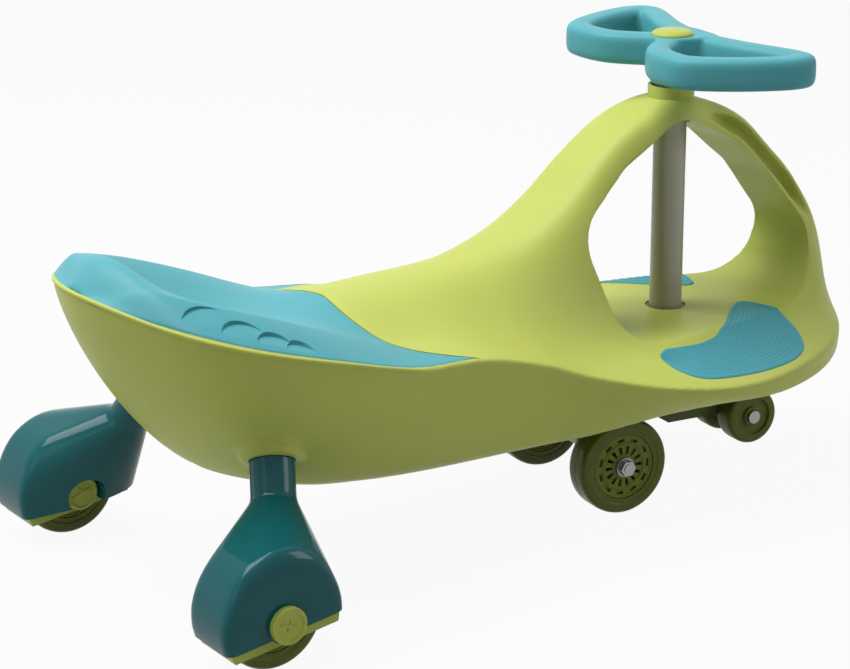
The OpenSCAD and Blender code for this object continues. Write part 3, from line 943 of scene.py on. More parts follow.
@dataclass
class Form:
    """The car's flowing form, in mm: plan outline, rim, spine and sections."""

    half_len: float = 357.5
    deck_w: float = 298.0
    deck_z: float = 146.0
    rim_low: float = 122.0
    lift: float = 202.0
    tail_z: float = 247.0
    skirt_z: float = 89.0
    wall: float = 4.0
    ridge_h: float = 23.0
    ridge_t: float = 0.65
    cap_rim: float = 4.0
    tail_tuck: float = 118.0
    hem_short: float = 123.0
    nose_drop: float = 18.0
    seat_under: float = 5.3
    out_of_reach: float = 300.0
    window_back: float = 119.5
    window_front: float = 277.5
    window_r: float = 38.0
    full: Line = field(default_factory=lambda: Line([
        (-1, 1.25), (-0.92, 1.46), (-0.82, 1.39), (-0.6, 1.13), (-0.4, 0.95), (-0.22, 0.84), (-0.06, 0.8),
        (0.07, 0.84), (0.27, 1), (0.46, 1.13), (0.69, 1.15), (0.86, 1.12), (1, 1.03),
    ]))
    rise: Line = field(default_factory=lambda: Line([
        (-1, 1), (-0.92, 0.91), (-0.82, 0.82), (-0.6, 0.65), (-0.4, 0.5), (-0.22, 0.45), (-0.06, 0.33),
        (0.07, 0.19), (0.27, 0.05), (0.46, 0), (1, 0),
    ]))
    back: Line = field(default_factory=lambda: Line([
        (-1, 0.62), (-0.92, 0.72), (-0.85, 0.63), (-0.776, 0.485), (-0.68, 0.426), (-0.57, 0.411),
        (-0.45, 0.426), (-0.39, 0.44), (-0.1, 0.475), (0.03, 0.53), (0.11, 0.59), (0.19, 0.685), (0.27, 0.81),
        (0.345, 0.908), (0.42, 0.97), (0.5, 1), (0.58, 0.992), (0.7, 0.9), (0.79, 0.755), (0.87, 0.6),
        (0.965, 0.32), (1, 0),
    ]))
    hem: Line = field(default_factory=lambda: Line([
        (-1, 0.95), (-0.9, 0.98), (-0.75, 0.85), (-0.4, 0.7), (-0.1, 0.68), (0.15, 0.76), (0.45, 1.03),
        (0.65, 1.08), (0.85, 1.05), (1, 1),
    ]))

    def half_w(self, f: np.ndarray) -> np.ndarray:
        """Half width of the shell at a share of its half length."""
        return self.deck_w / 2 * self.full(f) * np.sqrt(np.maximum(1 - f * f, 0))

    def rim(self, f: np.ndarray) -> np.ndarray:
        """Height of the rim."""
        return self.rim_low + (self.tail_z - self.rim_low) * self.rise(f)

    def spine(self, f: np.ndarray) -> np.ndarray:
        """Height of the seat, saddle and arch along the middle."""
        return self.rim_low + self.lift * self.back(f)

    def seat(self, f: np.ndarray, t: np.ndarray) -> np.ndarray:
        """Height of the seat's section at a share of the half width.

        Args:
            f: shares of the half length, -1 at the tail and 1 at the nose.
            t: shares of the half width, 0 in the middle and 1 at the rim.

        Returns:
            The heights, in mm.
        """
        rim = self.rim(f)
        top = rim + self.ridge_h * (1 - ease(-0.85, -0.25, f) * 0.75) * ease(-1, -0.9, f)
        mid = rim + (self.spine(f) - rim) * ease(-1, -0.985, f)
        r = self.ridge_t
        flank = top - (top - rim) * np.maximum((t - r) / (1 - r), 0) ** 1.25
        return np.where(t > r, flank, mid + (top - mid) * ease(0.05, r + 0.1, t) / ease(0.05, r + 0.1, r))

    def saddle(self, f: np.ndarray, t: np.ndarray) -> np.ndarray:
        """Height of the saddle's, deck's and arch's section.

        Args:
            f: shares of the half length, -1 at the tail and 1 at the nose.
            t: shares of the half width, 0 in the middle and 1 at the rim.

        Returns:
            The heights, in mm.
        """
        a = ease(-0.1, 0.35, f)
        t0 = 0.58 - 0.25 * a + 0.2 * ease(0.75, 0.97, f)
        n = 2.6 + 3.6 * a
        c = 1 / (1 + (1 / t0) ** n)
        bell = (1 / (1 + (t / t0) ** n) - c) / (1 - c)
        rise = self.spine(f) - self.rim(f)
        crown = np.minimum(self.deck_z - self.rim_low, rise) * a
        return self.rim(f) + crown * (1 - t**2.2) + (rise - crown) * bell

    def top(self, f: np.ndarray, t: np.ndarray) -> np.ndarray:
        """Height of the upper skin."""
        k = ease(-0.42, -0.2, f)
        return self.seat(f, t) * (1 - k) + self.saddle(f, t) * k

    def skin(self, x: np.ndarray, y: np.ndarray) -> np.ndarray:
        """Height of the upper skin at a place in mm."""
        f = np.asarray(x, float) / self.half_len
        return self.top(f, np.clip(np.abs(y) / np.maximum(self.half_w(f), 0.01), 0, 1))

    def flank(self, f: np.ndarray, side: float, v: np.ndarray, inset: float) -> np.ndarray:
        """Points of the flank, v from 0 at the rim to 1 at the lower edge.

        Args:
            f: shares of the half length, -1 at the tail and 1 at the nose.
            side: 1 on the left and -1 on the right.
            v: shares down the flank.
            inset: how far the points are drawn in towards the middle, in mm.

        Returns:
            The points, in mm.
        """
        h = 0.5 * (1 - np.sqrt(np.maximum(1 - v * v, 0))) + 0.5 * v**1.3
        x0 = f * self.half_len
        w0 = self.half_w(f)
        w1 = self.deck_w / 2 * self.hem(f) * np.sqrt(np.maximum(1 - f * f, 0))
        x1 = -self.half_len + self.tail_tuck + (2 * self.half_len - self.hem_short) * (f + 1) / 2
        z1 = self.skirt_z + (self.rim_low - self.nose_drop - self.skirt_z) * ease(-0.1, 0.4, f)
        rim = self.rim(f)
        y = side * np.maximum(w0 + (w1 - w0) * h - inset, 0)
        return np.stack([x0 + (x1 - x0) * h, y, rim + (z1 - rim) * v], 1)

    def room_top(self, f: np.ndarray, y: np.ndarray) -> np.ndarray:
        """Height of the room inside the shell.

        Args:
            f: shares of the half length, -1 at the tail and 1 at the nose.
            y: places across the car, in mm.

        Returns:
            The heights, in mm.
        """
        under = self.wall + self.seat_under * (1 - ease(-0.2, -0.08, f))
        t = np.clip((np.abs(y) + self.wall) / np.maximum(self.half_w(f), 0.01), 0, 1)
        deck = self.deck_z - self.wall + self.out_of_reach * (1 - ease(-0.12, 0.12, f))
        nose = self.rim(f) + self.out_of_reach * (1 - ease(0.62, 0.8, f))
        return np.minimum(np.minimum(self.top(f, t) - under, deck), nose)

    def floor(self, x: np.ndarray) -> np.ndarray:
        """Height of the window's floor.

        Args:
            x: places along the car, in mm.

        Returns:
            The heights, in mm.
        """
        r = self.window_r
        d = np.maximum(np.maximum(self.window_back - x, x - self.window_front), 0)
        return self.deck_z + r - np.sqrt(np.maximum(r * r - d * d, 1))

    def foot(self, x: np.ndarray, y: np.ndarray) -> np.ndarray:
        """Height of the footrest: the skin, or the window's floor where that lies lower."""
        return np.minimum(self.skin(x, y), self.floor(x))


FORM = Form()


def socket_frame(side: Side) -> Matrix:
    """Frame at a leg's socket ring, in mm, Z down along the neck.

    Args:
        side: the leg's side.

    Returns:
        The frame.
    """
    x, y, z = SOCKET
    turn = Matrix.Rotation(math.radians(side.value * SOCKET_TURN), 4, "Z")
    lean = Matrix.Rotation(math.radians(180 - NECK_LEAN), 4, "Y")
    return Matrix.Translation((x, side.value * y, z)) @ turn @ lean @ Matrix.Rotation(math.pi, 4, "Z")


def seat_outline(grow: float) -> np.ndarray:
    """Plan outline of the seat cap, in mm, let out by a gap.

    Args:
        grow: the gap, in mm.

    Returns:
        The outline's points in turn.
    """
    f = -1 + 0.77 * (np.arange(4, 97) / 96) ** 2
    rims = FORM.cap_rim * np.clip(FORM.half_w(f) / 110, 0.6, 1) - grow
    rim = FORM.cap_rim - grow
    tail = -FORM.half_len + rims[0]
    sides = np.stack([f * FORM.half_len, np.maximum(FORM.half_w(f) - rims, 1)], 1)
    sides = sides[sides[:, 0] > tail + 1]
    curve = Path([(-82, 1), (-104, 0.9), (-130, 0.75), (-144, 0.6), (-150, 0.3), (-146, 0)])
    edge = curve(np.linspace(0, 1, 40))
    front = np.stack([edge[:, 0], edge[:, 1] * (FORM.half_w(edge[:, 0] / FORM.half_len) - rim)], 1)
    right = np.concatenate([[[tail, 0]], sides, front])
    return np.concatenate([right * (1, -1), right[-2:0:-1]])


def seat_block(name: str, grow: float, below: float, above: float) -> bpy.types.Object:
    """Builds the seat cap's solid, or its pocket when let out by a gap.

    Args:
        name: the solid's name.
        grow: the gap, in mm.
        below: its depth under the seat's skin, in mm.
        above: its height over the seat's skin, in mm.

    Returns:
        The new closed object.
    """
    half = 84
    total = 2 * half + 2

    def shape(u: np.ndarray, v: np.ndarray) -> np.ndarray:
        """Upper skin one way across and lower skin the other way.

        Args:
            u: shares along the skin.
            v: shares around it.

        Returns:
            The points, in mm.
        """
        f = -np.cos(math.pi * (0.012 + (0.45 - 0.012) * u))
        k = np.round(v * total) % total
        upper = k <= half
        s = np.clip(np.where(upper, 2 * k / half - 1, 1 - 2 * (k - half - 1) / half), -1, 1)
        t = np.sign(s) * np.abs(s) ** 1.15
        z = FORM.top(f, np.abs(t)) + np.where(upper, above, -below * (0.4 + 0.6 * ease(-0.99, -0.88, f)))
        return np.stack([f * FORM.half_len, t * FORM.half_w(f), z], 1)

    skin = surface(name, 110, total, shape)
    return carve(skin, outline_prism("plan", seat_outline(grow), 120, 320), Cut.KEEP)


@dataclass
class Shell:
    """The blow-moulded body shell."""

    stations: int = 280
    top_faces: int = 150
    side_faces: int = 18
    floor_faces: int = 8
    column_r: float = 13.5
    arch_z: float = 324.0
    collar_h: float = 9.0
    cell: float = 1.95
    lip_r: float = 1.8
    boss_wall: float = 7.5
    boss_low: float = 88.3
    boss_top: float = 145.0
    collar_wall: float = 5.5
    bore_gap: float = 3.3
    bore_low: float = 87.0
    neck_bore_r: float = 17.3
    pocket_gap: float = 0.3
    pocket_deep: float = 6.8
    scoop_from: float = 206.0
    scoop_len: float = 132.0
    scoop_y: float = 38.0
    scoop_under: float = 12.2
    scoop_deep: float = 7.2
    scoop_wide: float = 24.0
    # Rings at the leg's socket: radius, and where each ends along the neck
    ring_steps: Pairs = ((22.8, -6), (27.5, -13))
    # Corners of the box that the rings keep to
    ring_low: Sequence[float] = (-352.5, -149, 60)
    ring_high: Sequence[float] = (-152.5, 149, 182)
    # Arcs of the arch's window: place along, height over the deck, and radius
    window_arcs: Triples = (
        (112.5, 75, 40), (FORM.window_back, FORM.window_r, FORM.window_r),
        (FORM.window_front, FORM.window_r, FORM.window_r), (242.5, 77, 43), (212, 103, 43),
        (178.5, 128, 36), (142, 100, 42),
    )

    def outer(self) -> bpy.types.Object:
        """The solid within the outer skin.

        Returns:
            The new closed object.
        """
        a, b, c = self.top_faces, self.side_faces, self.floor_faces
        total = a + 2 * b + c

        def shape(u: np.ndarray, v: np.ndarray) -> np.ndarray:
            """Top, left flank, underside and right flank, in turn.

            Args:
                u: shares along the skin.
                v: shares around it.

            Returns:
                The points, in mm.
            """
            f = -np.cos(math.pi * u)
            k = np.round(v * total) % total
            s = np.clip(2 * k / a - 1, -1, 1)
            t = np.sign(s) * np.abs(s) ** 1.1
            top = np.stack([f * FORM.half_len, t * FORM.half_w(f), FORM.top(f, np.abs(t))], 1)
            left = FORM.flank(f, 1, np.clip((k - a) / b, 0, 1), 0)
            right = FORM.flank(f, -1, np.clip((total - k) / b, 0, 1), 0)
            share = np.clip((k - a - b) / c, 0, 1)[:, None]
            floor = left * (1 - share) + right * share
            points = np.where((k <= a)[:, None], top, left)
            points = np.where((k > a + b)[:, None], floor, points)
            return np.where((k > a + b + c)[:, None], right, points)

        return surface("body_shell", self.stations, total, shape)

    def room(self) -> bpy.types.Object:
        """The space inside the shell, open below.

        Returns:
            The new closed object.
        """
        a, b, c = 40, 10, 4
        total = a + 2 * b + 2 + c
        shrink = 1 - 2 * FORM.wall / FORM.half_len

        def shape(u: np.ndarray, v: np.ndarray) -> np.ndarray:
            """Roof, left wall, space below and right wall, in turn.

            Args:
                u: shares along the skin.
                v: shares around it.

            Returns:
                The points, in mm.
            """
            f = -np.cos(math.pi * (6 + 168 * u) / 180)
            k = np.round(v * total) % total
            y = np.clip(2 * k / a - 1, -1, 1) * (FORM.half_w(f) - FORM.wall)
            roof = np.stack([f * shrink * FORM.half_len, y, FORM.room_top(f * shrink, y)], 1)
            scale = np.array([shrink, 1, 1])
            left = FORM.flank(f, 1, np.clip((k - a) / b, 0, 1), FORM.wall) * scale
            right = FORM.flank(f, -1, np.clip((total - k) / b, 0, 1), FORM.wall) * scale
            drop = np.array([0, 0, 40])
            left = left - drop * (k > a + b)[:, None]
            right = right - drop * (k < total - b)[:, None]
            share = np.clip((k - a - b - 1) / c, 0, 1)[:, None]
            floor = left * (1 - share) + right * share
            points = np.where((k <= a)[:, None], roof, left)
            points = np.where((k > a + b + 1)[:, None], floor, points)
            return np.where((k > a + b + 1 + c)[:, None], right, points)

        return surface("room", 70, total, shape)

    def window(self, inset: float, lift: float) -> bpy.types.Object:
        """The opening under the arch, drawn in by an inset and with its floor lifted.

        Args:
            inset: how far its outline is drawn in, in mm.
            lift: how far its floor is lifted, in mm.

        Returns:
            The new closed object.
        """
        discs = []
        for x, z, r in self.window_arcs:
            drop = lift - inset if z == r else 0
            discs.append(across(r - inset, 160, (x, 0, FORM.deck_z + z + drop), 160))
        return hull("window", discs)

    def scoop(self, side: Side) -> bpy.types.Object:
        """The hollow along the arch's front leg, under the edge of its top.

        Args:
            side: the side it lies on.

        Returns:
            The new closed object.
        """

        def shape(u: np.ndarray, v: np.ndarray) -> np.ndarray:
            """A lens-shaped tube that tapers to both ends.

            Args:
                u: shares along the skin.
                v: shares around it.

            Returns:
                The points, in mm.
            """
            x = self.scoop_from + self.scoop_len * u
            z = FORM.spine(x / FORM.half_len)
            slope = (FORM.spine((x + 2) / FORM.half_len) - FORM.spine((x - 2) / FORM.half_len)) / 4
            lean = np.arctan(slope)
            size = np.sqrt(np.clip(np.minimum(u / 0.25, (1 - u) / 0.2), 0, 1) + 1e-4)
            a = 2 * math.pi * v
            out = -self.scoop_under + self.scoop_deep * size * np.sin(a)
            wide = self.scoop_wide * size * np.cos(a)
            y = side.value * (self.scoop_y + wide)
            return np.stack([x - out * np.sin(lean), y, z + out * np.cos(lean)], 1)

        return surface("scoop", 40, 32, shape)

    def lip(self) -> bpy.types.Object:
        """The bead along the rim beside the seat.

        Returns:
            The new closed object.
        """

        def middle(a: np.ndarray) -> np.ndarray:
            """Middle of the bead, from the right front round the tail.

            Args:
                a: shares along the bead, -1 to 1, 0 at the tail.

            Returns:
                The points, in mm.
            """
            f = -1 + 0.75 * a * a
            sunk = ease(0.86, 0.97, np.abs(a))
            y = np.sign(a) * FORM.half_w(f) * (0.992 - 0.034 * sunk)
            return np.stack([f * (FORM.half_len - 1), y, FORM.rim(f) - 0.5 - 4 * sunk], 1)

        def shape(u: np.ndarray, v: np.ndarray) -> np.ndarray:
            """A round bar along that line.

            Args:
                u: shares along the skin.
                v: shares around it.

            Returns:
                The points, in mm.
            """
            a = 2 * u - 1
            step = middle(a + 0.004) - middle(a - 0.004)
            out = np.stack([step[:, 1], -step[:, 0], np.zeros_like(a)], 1)
            out /= np.linalg.norm(out, axis=1)[:, None]
            turn = 2 * math.pi * v[:, None]
            return middle(a) + self.lip_r * (out * np.cos(turn) + np.array([0, 0, 1]) * np.sin(turn))

        return surface("lip", 300, 16, shape)

    def build(self) -> bpy.types.Object:
        """Models the shell and dresses it.

        Returns:
            The shell.
        """
        obj = self.outer()
        carve(obj, self.room())
        carve(obj, self.window(2.5, 0))
        boss = cylinder("boss", self.column_r + self.boss_wall, self.boss_low, self.boss_top, COLUMN)
        carve(obj, boss, Cut.JOIN)
        for side in Side:
            for radius, high in self.ring_steps:
                wall = cylinder("socket", radius, -40, high, socket_frame(side))
                carve(wall, block("room", self.ring_low, self.ring_high), Cut.KEEP)
                carve(obj, wall, Cut.JOIN)
        for side in Side:
            carve(obj, self.scoop(side))
        soften(obj, self.cell, 8, 0.33)
        carve(obj, self.window(0, 5))
        rim = self.arch_z + self.collar_h
        collar = cylinder("collar", self.column_r + self.collar_wall, self.arch_z - 12, rim, COLUMN)
        carve(obj, collar, Cut.JOIN)
        for side in Side:
            carve(obj, cylinder("neck bore", self.neck_bore_r, -40, 20, socket_frame(side)))
        carve(obj, seat_block("pocket", self.pocket_gap, self.pocket_deep, 30))
        carve(obj, self.lip(), Cut.JOIN)
        carve(obj, cylinder("column bore", self.column_r + self.bore_gap, self.bore_low, rim + 1, COLUMN))
        smooth(obj, 50)
        return dress(obj, Body.CAR.value, "lime_plastic", "body_shell")


@dataclass
class SeatCap:
    """The shaped seat cover let into the tail."""

    thickness: float = 6.5
    cell: float = 1.35
    scallop_d: float = 3.2
    # Thumb recesses: place along, share of the half width, radius, and turn
    scallops: tuple[tuple[float, float, float, float], ...] = (
        (-299.5, 0.87, 21, 15), (-279, 0.9, 17.5, 10), (-258, 0.92, 14.5, 8), (-239.5, 0.935, 12, 6),
    )

    def scallop(self, x: float, share: float, radius: float, heading: float, side: Side) -> bpy.types.Object:
        """One thumb recess, deep on one side and running out on the other.

        Args:
            x: its place along the car, in mm.
            share: its place as a share of the half width.
            radius: its radius, in mm.
            heading: its turn about the skin's normal, in degrees.
            side: the side it lies on.

        Returns:
            The cutter.
        """
        y = float(share * FORM.half_w(np.array(x / FORM.half_len)))
        z = float(FORM.skin(x, y))
        dy = float(FORM.skin(x, y + 1) - FORM.skin(x, y - 1)) / 2
        dx = float(FORM.skin(x + 1, y) - FORM.skin(x - 1, y)) / 2
        at = Matrix.Translation((x, y, z)) @ Matrix.Rotation(-math.atan(dx), 4, "Y")
        at = at @ Matrix.Rotation(math.atan(dy), 4, "X") @ Matrix.Rotation(math.radians(heading), 4, "Z")
        at = at @ Matrix.Rotation(math.asin(self.scallop_d / radius), 4, "X")
        tool = cylinder("scallop", radius, 0, 13, at, 96, radius + 4)
        return flip(tool) if side is Side.RIGHT else tool

    def build(self) -> bpy.types.Object:
        """Models the cap and dresses it.

        Returns:
            The cap.
        """
        obj = seat_block("seat_cap", 0.0, self.thickness, 0.0)
        soften(obj, self.cell, 4)
        for side in Side:
            for sizes in self.scallops:
                carve(obj, self.scallop(*sizes, side))
        smooth(obj, 35)
        return dress(obj, Body.CAR.value, "teal_plastic", "seat_cap")


@dataclass
class FootrestPads:
    """The two ribbed rubber pads."""

    proud: float = 1.2
    below: float = 1.8
    end: float = 0.04
    rib: float = 0.5
    ribs: int = 17
    length: float = 150.0
    edge_r: float = 1.6
    inner: Path = field(default_factory=lambda: Path([
        (105, 98.9), (116, 92.5), (132, 91.9), (153, 91.5), (174, 86), (194, 72), (212, 55), (231, 38),
        (245, 29),
    ]))
    outer: Path = field(default_factory=lambda: Path([
        (104, 107), (108, 121), (121, 133.4), (146, 137.8), (184, 136.3), (225, 125.2), (250, 107), (260, 79),
        (253, 38),
    ]))

    def build(self) -> None:
        """Models both pads and dresses them."""
        across_faces = 120
        total = 2 * across_faces + 2

        def shape(u: np.ndarray, v: np.ndarray) -> np.ndarray:
            """Ribbed top one way across and plain underside the other way.

            Args:
                u: shares along the skin.
                v: shares around it.

            Returns:
                The points, in mm.
            """
            k = np.round(v * total) % total
            top = k <= across_faces
            s = np.clip(np.where(top, k / across_faces, 1 - (k - across_faces - 1) / across_faces), 0, 1)
            w = u + self.end * (2 * s - 1) ** 2 * (1 - 2 * u)
            a, b = self.inner(w), self.outer(w)
            p = a + (b - a) * s[:, None]
            width = np.linalg.norm(b - a, axis=1)
            edge = np.minimum(np.minimum(s, 1 - s) * width, np.minimum(u, 1 - u) * self.length)
            crown = self.proud * np.sqrt(1 - (1 - np.clip(edge / self.edge_r, 0, 1)) ** 2)
            groove = self.rib * (0.5 - 0.5 * np.cos(2 * math.pi * s * self.ribs)) * ease(2.5, 4.5, edge)
            z = FORM.foot(p[:, 0], p[:, 1]) + np.where(top, crown - groove, -self.below)
            return np.stack([p[:, 0], p[:, 1], z], 1)

        left = surface("footrest_pad_left", 150, total, shape)
        smooth(left, 60)
        dress_pair(left, "footrest_pad", "teal_rubber")


@dataclass
class RearLegs:
    """The two glossy legs, each a neck that flares into a wheel cover."""

    neck_r: float = 17.0
    cover_r: float = 49.0
    cover_half: float = 27.0
    drum_r: float = 45.8
    cover_in: float = 24.0
    flare_from: float = 24.0
    edge_drop: float = 8.0
    edge_tilt: float = 9.0
    lug_r: float = 15.0
    lug_sunk: float = 0.4
    hole_r: float = 4.1
    # Discs that round the cover off: how much smaller, narrower and higher each is
    layers: Triples = ((0, 4, 0), (1, 1.8, 0), (5, 0, 0), (3, 5, 8), (9, 1.5, 8))

    def lower_edge(self) -> bpy.types.Object:
        """Everything below the cover's slanted edge.

        Returns:
            The cutter.
        """
        tool = block("below", (-120, -80, -160 - self.edge_drop), (120, 80, -self.edge_drop))
        tilt = Matrix.Rotation(math.radians(-self.edge_tilt), 4, "Y")
        return place(tool, Matrix.Translation(REAR_AXLE) @ tilt)

    def build(self) -> None:
        """Models the left leg, copies it to the right and dresses both."""
        at = socket_frame(Side.LEFT)
        x, y, z = REAR_AXLE
        pieces = [cylinder("neck end", self.neck_r, self.flare_from, self.flare_from + 2, at, 128)]
        for smaller, narrower, higher in self.layers:
            centre = (x, y, z + higher)
            pieces.append(across(self.cover_r - smaller, self.cover_half - narrower, centre, 160))
        flare = hull("rear_leg_left", pieces)
        carve(flare, cylinder("neck", self.neck_r, -39.7, 36, at, 128), Cut.JOIN)
        soften(flare, 1.8, 24)
        carve(flare, across(self.drum_r, self.cover_in, REAR_AXLE, 160))
        carve(flare, self.lower_edge())
        face = self.cover_half - self.lug_sunk
        for low, high in ((self.cover_in, face), (-face, -self.cover_in)):
            lug = across(self.lug_r, (high - low) / 2, (x, y + (low + high) / 2, z), 96)
            carve(flare, lug, Cut.JOIN)
        for sign in (-1, 1):
            carve(flare, across(self.lug_r, 15, (x, y + sign * (self.cover_half + 15), z), 96))
        carve(flare, across(self.hole_r, 60, REAR_AXLE, 48))
        smooth(flare, 35)
        dress_pair(flare, "rear_leg", "teal_gloss")


@dataclass
class SteeringWheel:
    """The steering wheel with its two hand loops, turned as it rests."""

    top: float = 374.0
    thick: float = 26.0
    bar_r: float = 11.0
    spread: float = 130 / 123
    boss_r: float = 17.5
    boss_low: float = 334.5
    tube_r: float = 13.6
    cap_r: float = 17.3
    roots: Pairs = ((22, 14), (-8, 8))
    loop: Path = field(default_factory=lambda: Path(
        [(22, 14), (31, 50), (48, 100), (36, 112), (0, 102), (-34, 82), (-42, 64), (-36, 34), (-8, 8)]))

    def bar(self) -> bpy.types.Object:
        """The left hand loop as one swept bar.

        Returns:
            The new closed object.
        """
        middle = self.top - self.thick / 2

        def shape(u: np.ndarray, v: np.ndarray) -> np.ndarray:
            """A rounded upright section along the loop.

            Args:
                u: shares along the skin.
                v: shares around it.

            Returns:
                The points, in mm.
            """
            stretch = np.array([1, self.spread])
            p = self.loop(u) * stretch
            d = self.loop(np.clip(u + 0.01, 0, 1)) * stretch - self.loop(np.clip(u - 0.01, 0, 1)) * stretch
            d = d / np.linalg.norm(d, axis=1)[:, None]
            a = 2 * math.pi * v
            c, s = np.cos(a), np.sin(a)
            out = self.bar_r * np.sign(c) * np.abs(c) ** 0.5
            up = self.thick / 2 * np.sign(s) * np.abs(s) ** 0.5
            return np.stack([p[:, 0] - d[:, 1] * out, p[:, 1] + d[:, 0] * out, middle + up], 1)

        return surface("loop", 140, 48, shape)

    def build(self) -> bpy.types.Object:
        """Models the wheel and dresses it.

        Returns:
            The wheel.
        """
        low = self.top - self.thick
        left = self.bar()
        right = twin(left, "loop right")
        hub = hull("hub", [
            cylinder("corner", self.bar_r, low, self.top, Matrix.Translation((x, sign * y, 0)), 64)
            for x, y in self.roots for sign in (-1, 1)
        ])
        carve(hub, left, Cut.JOIN)
        carve(hub, right, Cut.JOIN)
        carve(hub, cylinder("boss", self.boss_r, self.boss_low, self.top - 1), Cut.JOIN)
        hub.name = hub.data.name = "steering_wheel"
        soften(hub, 1.5, 10)
        carve(hub, cylinder("socket", self.tube_r, 300, self.top - 12))
        carve(hub, cylinder("cap seat", self.cap_r, self.top - 3, self.top + 17))
        smooth(place(hub, TURNED_COLUMN), 40)
        return dress(hub, Body.STEERING.value, "teal_plastic", "steering_wheel")


def steered(x: float, y: float, z: float) -> Matrix:
    """Frame of an axle that turns with the column, from its place in the column's frame, in mm."""
    return TURNED_COLUMN @ Matrix.Translation((x, y, z)) @ AXLE


@dataclass
class RoadWheels:
    """Four road wheels, each a cast tyre on a slotted hub."""

    radius: float = 40.0
    half: float = 12.0
    hub_r: float = 27.0
    bore_r: float = 8.1
    trail: float = -84.0
    track: float = 64.0
    petals: int = 14
    dashes: int = 11

    def tyre(self) -> bpy.types.Object:
        """The tyre around the origin, axle along Z.

        Returns:
            The new closed object.
        """
        r, h, b = self.radius, self.half, self.hub_r + 0.1
        side = [
            (b, h - 0.7, 0.4), (31, h - 0.7, 0.5), (31.6, h, 0.5), (r, h, 7), (r, 0.7, 0.2),
            (r - 0.3, 0, 0.3),
        ]
        return lathe("tyre", both_faces(side, 1), Matrix.Identity(4), 144)

    def hub(self) -> bpy.types.Object:
        """The hub around the origin, with its petals and dashes.

        Returns:
            The new closed object.
        """
        h = self.half - 1.5
        side = [
            (self.bore_r, h, 0.3), (10, h, 0.4), (10.3, h - 0.7, 0.3), (17.7, h - 0.7, 0.3), (18, h, 0.4),
            (19.8, h, 0.4), (20.1, h - 0.7, 0.3), (24.9, h - 0.7, 0.3), (25.2, h, 0.4),
            (self.hub_r - 0.05, h, 0.5),
        ]
        obj = lathe("hub", both_faces(side), Matrix.Identity(4), 144, 3)
        petal = rounded([(10.5, -0.8, 0.7), (17.1, -1.7, 1.2), (17.1, 1.7, 1.2), (10.5, 0.8, 0.7)])
        for i in range(self.petals):
            tool = outline_prism("petal", petal, -20, 20)
            carve(obj, place(tool, Matrix.Rotation(2 * math.pi * i / self.petals, 4, "Z")))
        arc = np.radians(np.linspace(-8, 8, 9))
        ends = [(23.8 * math.cos(a), 23.8 * math.sin(a)) for a in arc]
        dash = np.array(ends + [(21.2 * math.cos(a), 21.2 * math.sin(a)) for a in arc[::-1]])
        for i in range(self.dashes):
            for low, high in ((h - 3.2, h + 5), (-h - 5, 3.2 - h)):
                tool = outline_prism("dash", dash, low, high)
                carve(obj, place(tool, Matrix.Rotation(2 * math.pi * i / self.dashes, 4, "Z")))
        return obj

    def build(self) -> None:
        """Models one wheel, copies it to the four axles and dresses them."""
        places = {}
        x, y, z = REAR_AXLE
        for side in Side:
            places[f"rear_wheel_{side.tag}"] = Matrix.Translation((x, side.value * y, z)) @ AXLE
            places[f"front_wheel_{side.tag}"] = steered(self.trail, side.value * self.track, self.radius)
        for kind, piece, slot, angle in (
            ("tyre", self.tyre(), "olive_tyre", 30), ("hub", self.hub(), "olive_hub", 35),
        ):
            smooth(piece, angle)
            for body, at in places.items():
                node = body.replace("wheel", kind)
                dress(copy_to(piece, node, at), body, slot, node)
            bpy.data.objects.remove(piece)


@dataclass
class GuardWheels:
    """The two small wheels at the yoke's nose, with a ring groove on each face."""

    radius: float = 24.0
    half: float = 10.0
    bore_r: float = 3.06
    ahead: float = 72.0
    track: float = 20.4
    axle_z: float = 44.0

    def build(self) -> None:
        """Models one wheel, copies it to both sides and dresses them."""
        h = self.half
        side = [
            (self.bore_r, h, 0.3), (8.4, h, 0.6), (9, h - 2.4, 0.5), (16, h - 2.4, 0.6), (16.6, h, 0.6),
            (self.radius, h, 4.2),
        ]
        wheel = lathe("guard", both_faces(side), Matrix.Identity(4), 112)
        smooth(wheel, 35)
        for hand in Side:
            name = f"guard_wheel_{hand.tag}"
            at = steered(self.ahead, hand.value * self.track, self.axle_z)
            dress(copy_to(wheel, name, at), name, "guard_plastic", name)
        bpy.data.objects.remove(wheel)


